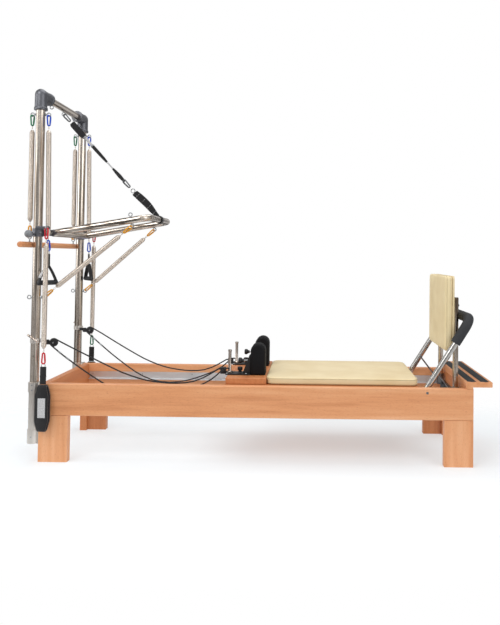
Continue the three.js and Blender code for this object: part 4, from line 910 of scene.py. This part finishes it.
class TOWER_OT_push_bar(bpy.types.Operator):
    """Polished push through bar, its pivot tube and the eyes on its arms"""

    bl_idname = "tower_unit.push_bar"
    bl_label = "Push through bar"

    def execute(self, context):
        end = BAR_PIVOT + BAR_ALONG * BAR_LENGTH
        path = rounded([BAR_PIVOT - Y * BAR_Y, end - Y * BAR_Y, end + Y * BAR_Y, BAR_PIVOT + Y * BAR_Y], BAR_BEND, 12)
        pieces = [tube("bow", path, BAR_RADIUS, "tube_x", 36),
                  tube("pivot_tube", [BAR_PIVOT - Y * BAR_Y, BAR_PIVOT + Y * BAR_Y], BAR_RADIUS, "tube_y", 36)]
        for _, side in SIDES:
            arm = BAR_PIVOT + Y * side * BAR_Y
            pieces.append(tube("pivot", [arm, BAR_PIVOT + Y * side * 0.291], 0.010, "zinc", 20))
            pieces.append(turned("arm_cap", ((0.0, 0.004), (0.014, 0.0036), (BAR_RADIUS + 0.0004, 0.0006),
                                             (BAR_RADIUS + 0.0004, -0.006)), arm, -BAR_ALONG, "plastic", 32))
            eye_place = arm + BAR_ALONG * BAR_EYE_ALONG
            for sign in (-1, 1):
                pieces.append(ring("eye", eye_place + BAR_UP * sign * BAR_EYE_DROP, BAR_ALONG, BAR_UP, "zinc"))
                pieces.append(tube("shank", [eye_place + BAR_UP * sign * 0.018, eye_place + BAR_UP * sign * 0.0235],
                                   0.004, "zinc", 12))
        settle(joined("push_bar_bow", *pieces), "push_bar", "steel", "push_through_bar")
        return {"FINISHED"}


class TOWER_OT_tension_springs(bpy.types.Operator):
    """Close wound springs with coloured snap hooks"""

    bl_idname = "tower_unit.tension_springs"
    bl_label = "Tension springs"

    def execute(self, context):
        root = "frame_and_tower"
        for name, side in SIDES:
            y = side * POST_Y
            sprung(f"arm_spring_{name}", (DOWEL_X, y, ARM_EYE_Z), (DOWEL_X, y, DOWEL_EYE_Z), HOOK_TURN,
                   ("green", "yellow"), ("left_springs", "roll_bar"), f"left_spring_{name}")
            sprung(f"hand_spring_{name}", (TOWER_X + RIGHT_EYE, y, ARM_EYE_Z), (HANDLE_X, y, HANDLE_EYE_Z), HOOK_TURN,
                   ("blue", "blue"), (root, root), f"handle_spring_{name}")
            ankle_y = side * LEG_SPRING_Y
            sprung(f"ankle_spring_{name}", (LEG_SPRING_X, ankle_y, LEG_SPRING_Z), (LEG_SPRING_X, ankle_y, CUFF_EYE_Z),
                   X, ("red", "red" if side < 0 else "green"),
                   (f"leg_spring_unit_{name}", f"cuff_{name}"), f"leg_spring_{name}")
            low_eye = Vector((TOWER_X + 0.040, y, BAR_EYE_Z))
            bar_eye = BAR_PIVOT + Y * side * BAR_Y + BAR_ALONG * BAR_EYE_ALONG - BAR_UP * BAR_EYE_DROP
            sprung(f"bar_spring_{name}", low_eye, bar_eye, HOOK_TURN, ("yellow", "yellow"), (root, "push_bar"),
                   f"push_bar_spring_{name}")
            bed_y = side * 0.070
            sprung(f"bed_spring_{name}", (1.1265, bed_y, 0.336), (0.6565, bed_y, 0.336), Z, ("zinc", "zinc"),
                   (root, "carriage"), f"carriage_spring_{name}")
        return {"FINISHED"}


class TOWER_OT_roll_down_bar(bpy.types.Operator):
    """Turned beech dowel with its two screw eyes"""

    bl_idname = "tower_unit.roll_down_bar"
    bl_label = "Roll down bar"

    def execute(self, context):
        half = 0.435
        profile = ((0.0135, -half), (0.0155, -half + 0.0012), (0.016, -half + 0.004), (0.016, half - 0.004),
                   (0.0155, half - 0.0012), (0.0135, half))
        pieces = [turned("dowel", profile, (DOWEL_X, 0, DOWEL_Z), Y, "beech_dowel", 32)]
        for _, side in SIDES:
            eye = Vector((DOWEL_X, side * POST_Y, DOWEL_EYE_Z))
            pieces.append(ring("eye", eye, X, Z, "zinc"))
            pieces.append(tube("shank", [eye - Z * 0.010, eye - Z * 0.034], 0.004, "zinc", 12))
            place = (DOWEL_X, side * POST_Y, DOWEL_Z + 0.0152)
            pieces.append(turned("washer", drum(0.009, 0.002), place, Z, "zinc", 24))
        settle(joined("dowel_bar", *pieces), "roll_bar", "beech", "roll_down_bar")
        return {"FINISHED"}


class TOWER_OT_hand_loops(bpy.types.Operator):
    """Webbing hand loops with a foam grip, a keeper and a plain patch"""

    bl_idname = "tower_unit.hand_loops"
    bl_label = "Hand loops"

    def execute(self, context):
        for name, side in SIDES:
            eye = Vector((HANDLE_X, side * POST_Y, HANDLE_EYE_Z))
            turn = HAND_LOOP_TURN[name]
            along = Vector((math.cos(turn), math.sin(turn), 0))
            face = along.cross(Z)
            band = smooth_line([eye - Z * 0.0135, eye - Z * 0.03, eye - Z * 0.055, eye - Z * 0.08], 4)
            pieces = [ribbon("band", band, along, [0.0255] * len(band), 0.0048, "webbing"),
                      ribbon("keeper", [eye - Z * 0.058, eye - Z * 0.066, eye - Z * 0.074], along, [0.0262] * 3,
                             0.0062, "webbing"),
                      tube("link", circle(eye - Z * 0.0062, along, Z, 0.0092), 0.0017, "zinc", 10, True)]
            for sign in (-1, 1):
                foot = eye - Z * 0.1725 + along * sign * 0.0565
                line = smooth_line([eye - Z * 0.078 + along * sign * 0.004, eye - Z * 0.115 + along * sign * 0.029,
                                    eye - Z * 0.152 + along * sign * 0.049, foot], 6)
                pieces.append(ribbon("leg", line, face, [0.024] * len(line), 0.0042, "webbing"))
                pieces.append(turned("grip_end", ((0.0, 0.0032), (0.011, 0.0028), (0.0136, 0.001), (0.0136, 0.0)),
                                     eye - Z * 0.174 + along * sign * 0.0585, along * sign, "plastic", 28))
            pieces.append(tube("grip", [eye - Z * 0.174 - along * 0.0585, eye - Z * 0.174 + along * 0.0585], 0.0138,
                               "foam", 32))
            hem = [eye - Z * 0.112 - along * 0.0305, eye - Z * 0.146 - along * 0.0505]
            pieces.append(ribbon("patch", hem, face, [0.0225] * 2, 0.0062, "patch"))
            settle(joined(f"hand_loop_{name}", *pieces), f"hand_loop_{name}", "webbing", f"handle_{name}")
        return {"FINISHED"}


class TOWER_OT_foot_cuffs(bpy.types.Operator):
    """Padded cuffs with chamfered corners, a D ring, stitched edges and a plain patch"""

    bl_idname = "tower_unit.foot_cuffs"
    bl_label = "Foot cuffs"

    def execute(self, context):
        for name, side in SIDES:
            eye = Vector((LEG_SPRING_X, side * LEG_SPRING_Y, CUFF_EYE_Z))
            middle = Vector((LEG_SPRING_X, side * LEG_SPRING_Y, 0.302))
            height, depth, wall, width = 0.256, 0.038, 0.0118, 0.072
            outline = oblong(depth - wall, height - wall, 0.0125, 5)
            fine = []
            for (y0, z0), (y1, z1) in zip(outline, outline[1:] + outline[:1]):
                steps = max(1, round(math.hypot(y1 - y0, z1 - z0) / 0.014))
                fine += [(y0 + (y1 - y0) * k / steps, z0 + (z1 - z0) * k / steps) for k in range(steps)]
            reach = height / 2 - wall / 2
            widths = [width * min(1.0, 0.62 + (reach - abs(z)) / 0.052 * 0.38) for _, z in fine]
            points = [middle + Y * y + Z * z for y, z in fine]
            pad = ribbon(f"cuff_pad_{name}", points, X, widths, wall, "neoprene", True)
            edit(pad)
            bpy.ops.mesh.subdivide(number_cuts=1)
            bpy.ops.object.mode_set(mode="OBJECT")
            for vertex in pad.data.vertices:
                place = vertex.co
                out = place.y - middle.y
                wave = noise.noise(Vector((place.x * 45, out * 30, place.z * 45))) * 0.0011
                if abs(out) > 0.0145 or abs(place.z - middle.z) > height / 2 - 0.002:
                    vertex.co.y -= math.copysign(abs(wave), out)
            settle(pad, f"cuff_{name}", "foam")
            strap = [eye - Z * 0.0125, eye - Z * 0.04, eye - Z * 0.075, eye - Z * 0.108]
            pieces = [ribbon("strap", smooth_line(strap, 3), X, [0.0335] * 10, 0.0046, "webbing"),
                      ribbon("strap_keeper", [eye - Z * 0.060, eye - Z * 0.070], X, [0.0345] * 2, 0.0066, "plastic"),
                      tube("ring", circle(eye - Z * 0.006, X, Z, 0.0105), 0.0019, "zinc", 10, True)]
            face = middle + Y * side * (depth / 2 - 0.0003)
            for sign in (-1, 1):
                seam = [face + X * sign * 0.0295 + Z * z for z in (-0.088, -0.04, 0.0, 0.04, 0.088)]
                pieces.append(tube("seam", seam, 0.0007, "webbing", 8))
            pieces.append(block("patch", (0.041, 0.0009, 0.106), face + X * 0.002 + Z * 0.004, "patch", 0.0004))
            settle(joined(f"cuff_strap_{name}", *pieces), f"cuff_{name}", "webbing", f"foot_cuff_{name}")
        return {"FINISHED"}


class TOWER_OT_safety_strap(bpy.types.Operator):
    """Safety strap from the crossbar to the push through bar: webbing, buckle, hooks and padded end"""

    bl_idname = "tower_unit.safety_strap"
    bl_label = "Safety strap"

    def execute(self, context):
        top = Vector((TOWER_X, 0, 2.006))
        end = BAR_PIVOT + BAR_ALONG * BAR_LENGTH
        line = end - top
        normal = Y.cross(line.normalized())

        def at(share, off=0.0):
            return top + line * share + normal * off

        axis = line.normalized()
        loop = [end + BAR_ALONG * math.cos(a) * 0.0232 + BAR_UP * math.sin(a) * 0.0232
                for a in (math.radians(118 - 236 * i / 14) for i in range(15))]
        pad_line = smooth_line([at(0.745), at(0.80, -0.006), at(0.87, -0.010), at(0.94, -0.008), loop[1]], 5)
        spans = (
            ("strap_wide", (0.085, 0.10, 0.15, 0.2, 0.22), (0.026, 0.038, 0.039, 0.038, 0.026), 0.0048, "webbing"),
            ("strap_cord", (0.218, 0.25, 0.302), (0.017, 0.014, 0.017), 0.0042, "patch"),
            ("strap_thin", (0.298, 0.34, 0.38, 0.42, 0.455), (0.020, 0.021, 0.020, 0.018, 0.013), 0.0042, "webbing"),
            ("strap_gap", (0.452, 0.485, 0.518), (0.010, 0.009, 0.010), 0.0035, "patch"),
            ("strap_low", (0.515, 0.55, 0.59, 0.64), (0.012, 0.019, 0.023, 0.016), 0.0048, "webbing"),
        )
        pieces = [ribbon(label, [at(share) for share in shares], normal, widths, thick, finish_name)
                  for label, shares, widths, thick, finish_name in spans]
        count = len(pad_line) - 1
        pad_widths = [0.030 + 0.014 * math.sin(math.pi * min(1.0, 0.18 + i / count)) - 0.016 * max(0, i / count - 0.6)
                      for i in range(len(pad_line))]
        pieces.append(ribbon("strap_pad", pad_line, normal, pad_widths, 0.0094, "neoprene"))
        pieces.append(ribbon("strap_wrap", loop, Y, [0.034] * len(loop), 0.0046, "neoprene"))
        for share, long in ((0.222, 0.010), (0.302, 0.008)):
            pieces.append(pushed("buckle", oblong(0.024, long, 0.003, 3), 0.007, "Y", at(share), "zinc", 0.001,
                                 across=(normal, axis)))
        pieces.append(snap_hook("strap_hook_top", top, axis, normal, "cast_dark", 0.064))
        pieces.append(snap_hook("strap_hook_low", at(0.622), axis, normal, "cast_dark", 0.066))
        pieces.append(tube("strap_ring", circle(at(0.727), normal, axis, 0.0125), 0.0022, "cast_dark", 10,
                           True))
        for i in range(3, len(pad_line) - 3, 4):
            pieces.append(tube("tack", [pad_line[i] - normal * 0.018 - Y * 0.0047, pad_line[i] + normal * 0.018
                                        - Y * 0.0047], 0.0005, "patch", 6))
        obj = joined("strap_line", *pieces)
        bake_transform(obj)
        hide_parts("safety_strap")
        return {"FINISHED"}


ROPE_RADIUS = 0.004
BED_SHIFT = 0.0015
ROPE_OUT = [(-226.7, 165, 490), (-236, 165, 490), (-256, 168, 478), (-288, 173, 459), (-330, 179, 437),
            (-378, 185, 420), (-422, 191, 413), (-467, 197, 411), (-511, 203, 412), (-556, 208, 416),
            (-600, 214, 422), (-645, 220, 431), (-690, 226, 444), (-735, 232, 460), (-780, 238, 478),
            (-821, 243, 498), (-870, 250, 523), (-920, 257, 549), (-970, 264, 576), (-1020, 273, 603),
            (-1066, 281, 628), (-1113.4, 285, 653)]
ROPE_BACK = [(-1140, 285, 611.5), (-1096, 282, 575), (-1050, 275, 539), (-1000, 267, 501), (-944, 260, 461),
             (-888, 252, 423), (-835, 245, 390), (-780, 239, 362), (-725, 233, 343), (-670, 227, 333),
             (-605, 219, 330), (-545, 214, 336), (-490, 209, 347), (-440, 204, 362), (-395, 200, 378),
             (-350, 198, 396), (-310, 197, 414), (-272, 197, 436), (-245, 196, 458), (-224, 194, 478),
             (-206, 190, 491), (-195, 185.5, 495), (-188.1, 179.1, 496), (-179.1, 171.2, 496)]


def rope_line(side):
    """The rope's centre line: from the cleat, round the pulley and back to the post."""
    def place(point):
        x, y, z = point
        return Vector((x / 1000 - BED_SHIFT, side * y / 1000, z / 1000))

    wrap = arc((PULLEY.x, side * PULLEY.y, PULLEY.z), X, Z, 0.0216, math.radians(62), math.radians(230), 10)
    return [place(p) for p in ROPE_OUT] + wrap + [place(p) for p in ROPE_BACK]


class TOWER_OT_pulleys_and_ropes(bpy.types.Operator):
    """Grooved pulleys, braided ropes and the ferrules on them"""

    bl_idname = "tower_unit.pulleys_and_ropes"
    bl_label = "Pulleys and ropes"

    def execute(self, context):
        for name, side in SIDES:
            centre = Vector((PULLEY.x, side * PULLEY.y, PULLEY.z))
            groove = [(0.0045, -0.006), (0.0215, -0.006), (0.0228, -0.0052), (0.0228, -0.0042), (0.019, -0.0022),
                      (0.0172, 0.0), (0.019, 0.0022), (0.0228, 0.0042), (0.0228, 0.0052), (0.0215, 0.006),
                      (0.0045, 0.006)]
            wheel = turned("wheel", groove, centre, Y, "plastic", 44)
            hub = turned("hub", ((0.0, 0.0068), (0.0042, 0.0066), (0.0048, 0.0056), (0.0048, -0.0056),
                                 (0.0042, -0.0066), (0.0, -0.0068)), centre, Y, "zinc", 24)
            settle(joined(f"sheave_{name}", wheel, hub), f"pulley_wheel_{name}", "plastic", f"pulley_{name}")
            line = rope_line(side)
            obj = tube(f"cord_{name}", line, ROPE_RADIUS, "rope", 16)
            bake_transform(obj)
            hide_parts(f"rope_{name}")
            ferrules = []
            for i in (33, 34):
                a, b = line[i], line[i + 1]
                mid = a.lerp(b, 0.5)
                step = (b - a).normalized() * 0.011
                ferrules.append(tube("ferrule", [mid - step, mid + step], ROPE_RADIUS + 0.0011, "zinc", 20))
            tips = joined(f"cord_ferrules_{name}", *ferrules)
            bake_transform(tips)
        return {"FINISHED"}


class TOWER_OT_carriage(bpy.types.Operator):
    """Carriage: ply base, cream pad, beech head board, padded shoulder rests, rope posts and wheels"""

    bl_idname = "tower_unit.carriage"
    bl_label = "Carriage"

    def execute(self, context):
        dress("birch", "carriage_base")
        dress("beech_y_head_shaded", "head_board")
        low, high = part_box("carriage_pad")
        size = high - low
        pad = cushion("carriage_cushion", (size.x, size.y, size.z - 0.0004), 0.045, 0.012, 0.004, "vinyl",
                      centre=(low + high) / 2)
        settle(pad, "carriage", "vinyl", "carriage_pad")
        outline = oblong(size.x - 0.0008, size.y - 0.0008, 0.0446, 8)
        middle = (low + high) / 2
        welts = [tube("welt", [Vector((middle.x + u, middle.y + v, low.z + z)) for u, v in outline], 0.0011,
                      "vinyl_edge", 8, True) for z in (0.0075, 0.0335)]
        settle(joined("cushion_welts", *welts), "carriage", "vinyl")
        for name, side in SIDES:
            self.shoulder_rest(name, side)
            self.rope_post(name, side)
        for node, body in (("wheel_set_head", "wheels_head"), ("wheel_set_foot", "wheels_foot")):
            obj = smooth_copy(f"{node}_turned", node, "plastic")
            settle(obj, body, "plastic", node)
        return {"FINISHED"}

    def shoulder_rest(self, name, side):
        """Padded arch with two seams."""
        low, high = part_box(f"shoulder_rest_{name}")
        x, half = (low.x + high.x) / 2, (high.x - low.x) / 2
        base, top = DECK_Z, high.z
        arch = [(-half, 0.0)] + [(half * math.cos(a), top - base - half + half * math.sin(a))
                                 for a in (math.radians(180 - i * 9) for i in range(21))] + [(half, 0.0)]
        width = high.y - low.y
        origin = Vector((x, (low.y + high.y) / 2, base))
        pad = pushed(f"rest_cushion_{name}", arch, width, "Y", origin, "vinyl_black", 0.016, 6)
        for vertex in pad.data.vertices:
            place = vertex.co
            wave = noise.noise(Vector((place.x * 40, place.y * 40, place.z * 26 + side * 3)))
            share = min(1.0, max(0.0, (place.z - base) / 0.05))
            vertex.co.y -= math.copysign(abs(wave) * 0.0012 * share, place.y - origin.y)
        settle(pad, f"rest_{name}", "rest_cover", f"shoulder_rest_{name}")
        seams = []
        for sign in (-1, 1):
            line = [origin + X * u * 0.994 + Z * (0.002 + v * 0.994) + Y * sign * (width / 2 - 0.0165)
                    for u, v in arch]
            seams.append(tube("seam", line, 0.0011, "vinyl_black", 8))
        settle(joined(f"rest_seams_{name}", *seams), f"rest_{name}", "rest_cover")

    def rope_post(self, name, side):
        """Steel post on a black plate, with the rope's cleat and the rest's two knobs."""
        base = Vector((0, side * 0.165, DECK_Z))
        plate = block("plate", (0.1420, 0.0835, 0.0078), base + Vector((-0.1225, 0, 0.0040)), "plastic", 0.0015)
        post_x = -0.1735
        post = turned("post", ((0.0192, 0.008), (0.0198, 0.0088), (0.0198, 0.0148), (0.0186, 0.016), (0.0102, 0.016),
                               (0.009, 0.018), (0.009, 0.128), (0.0106, 0.1295), (0.0106, 0.1385), (0.0092, 0.1401)),
                      base + X * post_x, Z, "zinc_bright", 32)
        tip_x = -0.2105
        cleat = block("cleat", (0.0335, 0.0215, 0.0375), base + Vector((tip_x, 0, 0.0191)), "plastic", 0.003, 3)
        pin = tube("cleat_pin", [base + Vector((tip_x, -0.0112, 0.024)), base + Vector((tip_x, 0.0112, 0.024))],
                   0.0036, "zinc", 16)
        support = pushed("support", ((-0.0965, 0.0079), (-0.0515, 0.0079), (-0.0515, 0.1115), (-0.0590, 0.1115)),
                         0.0415, "Y", base, "plastic", 0.002)
        knobs = []
        for origin, axis, radius in ((base + Vector((-0.1045, 0, 0.078)), -X, 0.0168),
                                     (base + Vector((-0.1135, 0, 0.0225)), Z, 0.0150)):
            knobs.append(turned("knob", ((0.0, 0.019), (radius * 0.8, 0.0186), (radius, 0.0155), (radius, 0.003),
                                         (radius * 0.86, 0.0), (radius * 0.62, -0.002), (radius * 0.62, -0.012)),
                                origin, axis, "plastic", 20))
        stems = [tube("stem", [base + Vector(first), base + Vector(last)], radius, "zinc", 16)
                 for first, last, radius in (((-0.112, 0, 0.078), (-0.066, 0, 0.078), 0.005),
                                             ((-0.1135, 0, 0.0078), (-0.1135, 0, 0.024), 0.006))]
        bolts = [turned("bolt", ((0.0, 0.0028), (0.0044, 0.0026), (0.0058, 0.0)), base + Vector((bx, by, 0.0079)), Z,
                        "zinc", 20) for bx in (-0.185, -0.075) for by in (-0.031, 0.031)]
        stand = joined(f"rope_stand_{name}", plate, post, cleat, pin, support, *knobs, *stems, *bolts)
        settle(stand, "carriage", "plastic", f"rope_post_{name}")


class TOWER_OT_jump_board(bpy.types.Operator):
    """Padded jump board on its posts, with the socket plate"""

    bl_idname = "tower_unit.jump_board"
    bl_label = "Jump board"

    def execute(self, context):
        low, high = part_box("jump_board_pad")
        size = high - low
        upright = Matrix.Rotation(math.radians(-90), 4, "Y")
        # The jump cushion takes the lighter copy of the cream vinyl: painted light.
        pad = cushion("jump_cushion", (size.z, size.y, size.x - 0.0004), 0.020, 0.011, 0.003, "vinyl_painted_light",
                      turn=upright, centre=(low + high) / 2)
        settle(pad, "jump_board", "vinyl", "jump_board_pad")
        middle = (low + high) / 2
        outline = oblong(size.z - 0.0008, size.y - 0.0008, 0.0198, 6)
        seams = [tube("seam", [Vector((low.x + x, middle.y + v, middle.z + u)) for u, v in outline], 0.001,
                      "vinyl_edge", 8, True) for x in (0.013, 0.031)]
        settle(joined("jump_seams", *seams), "jump_board", "vinyl")
        shape = oblong(high.y - low.y, high.z - low.z, 0.020, 6)
        board = pushed("jump_panel", shape, 0.0118, "X", (1.1078, 0, middle.z), "panel_edge", 0.0012)
        pieces = [board]
        for _, side in SIDES:
            y = side * 0.205
            pieces.append(turned("post", ((0.015, 0.352), (0.016, 0.353), (0.016, 0.922), (0.0135, 0.925)),
                                 (1.1292, y, 0), Z, "tube", 32))
            for z in (0.70, 0.88):
                pieces.append(turned("bolt", ((0.0, 0.0042), (0.0052, 0.0040), (0.0066, 0.0008), (0.0066, 0.0)),
                                     (1.1450, y, z), X, "zinc", 20))
        settle(joined("jump_frame", *pieces), "jump_board", "ply", "jump_board_frame")
        obj = smooth_copy("socket_rail", "socket_plate", "cast_dark")
        settle(obj, "frame_and_tower", "steel", "socket_plate")
        return {"FINISHED"}


class TOWER_OT_footbar(bpy.types.Operator):
    """Chromed footbar with its foam grip, pivots and thin props"""

    bl_idname = "tower_unit.footbar"
    bl_label = "Footbar"

    def execute(self, context):
        pivot, lean, length, half, bend = Vector((0.9435, 0, 0.404)), math.radians(58), 0.478, 0.280, 0.062
        along = Vector((math.cos(lean), 0, math.sin(lean)))
        end = pivot + along * length
        path = rounded([pivot - Y * half, end - Y * half, end + Y * half, pivot + Y * half], bend, 12)
        pieces = [tube("bow", path, 0.017, "chrome", 36)]
        for _, side in SIDES:
            hinge = pivot + Y * side * half
            pieces.append(turned("hinge_bolt", ((0.0, 0.0), (0.007, 0.0), (0.007, 0.066), (0.0068, 0.0665),
                                                (0.0, 0.0665)), hinge - Y * side * 0.001, Y * side, "zinc", 24))
            pieces.append(turned("hinge_cap", ((0.0, 0.018), (0.0145, 0.0175), (0.0174, 0.014), (0.0174, 0.0)),
                                 hinge + along * 0.004, -along, "plastic", 32))
            prop = pivot + along * 0.124 + Y * side * 0.264
            pieces.append(turned("prop_boss", drum(0.008, 0.009), prop + Y * side * 0.006, -Y * side, "zinc", 20))
        settle(joined("footbar_bow", *pieces), "footbar", "steel", "footbar")
        grip_start_share = 0.66
        start_point = pivot + along * length * grip_start_share
        corners = [start_point - Y * half, end - Y * half, end + Y * half, start_point + Y * half]
        grip_path = rounded(corners, bend, 14)
        grip = tube("footbar_foam", grip_path, 0.0285, "foam", 40)
        settle(grip, "footbar", "foam", "footbar_grip")
        for name, side in SIDES:
            node = f"footbar_strut_{name}"
            settle(smooth_copy(f"prop_rod_{name}", node, "zinc"), f"prop_{name}", "spring_steel", node)
        return {"FINISHED"}


class TOWER_OT_stage(bpy.types.Operator):
    """White studio: pale floor, soft lamps and the camera"""

    bl_idname = "tower_unit.stage"
    bl_label = "Stage"

    def execute(self, context):
        scene = context.scene
        settings = scene.tower_unit
        alone()
        bpy.ops.mesh.primitive_plane_add(size=60, location=(0, 0, -0.0005))
        floor = bpy.context.object
        floor.name = "studio_floor"
        material, tree, shader, where = start("studio_floor_white")
        put(tree, shader, Base_Color=linear("C3CACE"), Roughness=0.9, Specular_IOR_Level=0.05,
            Emission_Color=linear("FFFFFF"), Emission_Strength=settings.floor_glow)
        # The floor thins out round the object, so that the backdrop takes over without a horizon.
        squeezed = add(tree, "Mapping", {"Vector": where}, Scale=(0.55, 1.0, 1.0))
        far = add(tree, "VectorMath", {0: squeezed}, operation="LENGTH").outputs["Value"]
        fade = add(tree, "MapRange", {"Value": far}, interpolation_type="SMOOTHSTEP", From_Min=0.75, From_Max=1.7)
        mixed = add(tree, "MixShader", {"Fac": fade, 1: shader, 2: add(tree, "BsdfTransparent")})
        put(tree, tree.nodes["Material Output"], {"Surface": mixed})
        floor.data.materials.append(material)
        world = bpy.data.worlds.new("studio_white")
        scene.world = world
        world.use_nodes = True
        tree = world.node_tree
        tree.nodes.clear()
        rays = add(tree, "LightPath").outputs
        first = add(tree, "Math", {0: rays["Is Camera Ray"], 1: rays["Is Transmission Ray"]}, operation="MAXIMUM")
        seen = add(tree, "Background", Color=tuple(settings.backdrop), Strength=1.0)
        # Pale and dark flats round the studio give the tubes their long streaks.
        flats = add(tree, "Mapping", {"Vector": add(tree, "TexCoord").outputs["Generated"]}, Scale=(1.9, 1.9, 0.35))
        cloud = add(tree, "TexNoise", {"Vector": flats}, Scale=1.6, Detail=1.0, Roughness=0.4)
        tone = ramp(tree, cloud, ((0.40, "3A3836"), (0.50, "E8E8EA"), (0.62, "FFFFFF")))
        lit = add(tree, "Background", {"Color": tone}, Strength=settings.sky)
        mixed = add(tree, "MixShader", {"Fac": first, 1: lit, 2: seen})
        add(tree, "OutputWorld", {"Surface": mixed})
        lamps = (("key", (-2.6, -4.2, 4.6), (0.0, 0, 0.5), 3.2, settings.key_power),
                 ("fill", (3.4, -3.4, 2.4), (0.2, 0, 0.6), 2.6, settings.key_power * 0.42),
                 ("left", (-4.4, -1.2, 2.0), (1.0, 0, 0.8), 2.4, settings.key_power * 0.34),
                 ("top", (0.0, 0.6, 5.2), (0.0, 0, 0.0), 4.0, settings.key_power * 0.8))
        for name, place, aim, size, power in lamps:
            alone()
            bpy.ops.object.light_add(type="AREA", location=place)
            lamp = bpy.context.object
            lamp.name = f"lamp_{name}"
            lamp.data.size = size
            lamp.data.energy = power
            lamp.rotation_euler = (Vector(aim) - Vector(place)).to_track_quat("-Z", "Y").to_euler()
        alone()
        stand = (0.2973, -3.8029, 1.1543)
        bpy.ops.object.camera_add(location=stand)
        camera = bpy.context.object
        camera.matrix_world = (Matrix.Translation(stand) @ Matrix.Rotation(0.0017, 4, "Z")
                               @ Matrix.Rotation(math.radians(90) + 0.0264, 4, "X") @ Matrix.Rotation(0.0126, 4, "Z"))
        camera.data.sensor_fit = "VERTICAL"
        camera.data.sensor_height = 36
        camera.data.lens = 35.84
        camera.data.shift_x, camera.data.shift_y = -0.098, -0.117
        scene.camera = camera
        scene.view_settings.view_transform = "Standard"
        return {"FINISHED"}


PIECES = (
    TOWER_OT_stage,
    TOWER_OT_wooden_frame,
    TOWER_OT_tower_posts,
    TOWER_OT_cast_fittings,
    TOWER_OT_push_bar,
    TOWER_OT_tension_springs,
    TOWER_OT_roll_down_bar,
    TOWER_OT_hand_loops,
    TOWER_OT_foot_cuffs,
    TOWER_OT_safety_strap,
    TOWER_OT_pulleys_and_ropes,
    TOWER_OT_carriage,
    TOWER_OT_jump_board,
    TOWER_OT_footbar,
)


class TOWER_PT_pieces(bpy.types.Panel):
    """Lists the settings and the pieces of the tower unit"""

    bl_label = "Pilates tower unit"
    bl_idname = "TOWER_PT_pieces"
    bl_space_type = "VIEW_3D"
    bl_region_type = "UI"
    bl_category = "Tower unit"

    def draw(self, context):
        settings = context.scene.tower_unit
        for name in ("coil_wire", "coil_taper", "wrinkle", "backdrop", "key_power", "sky", "floor_glow"):
            self.layout.prop(settings, name)
        for piece in PIECES:
            self.layout.operator(piece.bl_idname)


CLASSES = (TowerUnitSettings, *PIECES, TOWER_PT_pieces)


def register():
    for item in CLASSES:
        bpy.utils.register_class(item)
    bpy.types.Scene.tower_unit = PointerProperty(type=TowerUnitSettings)


def unregister():
    del bpy.types.Scene.tower_unit
    for item in reversed(CLASSES):
        bpy.utils.unregister_class(item)


def main():
    register()
    for piece in PIECES:
        group, name = piece.bl_idname.split(".")
        if getattr(getattr(bpy.ops, group), name)() != {"FINISHED"}:
            raise RuntimeError(f"{piece.bl_label} was not finished")
    alone()


if __name__ == "__main__":
    main()
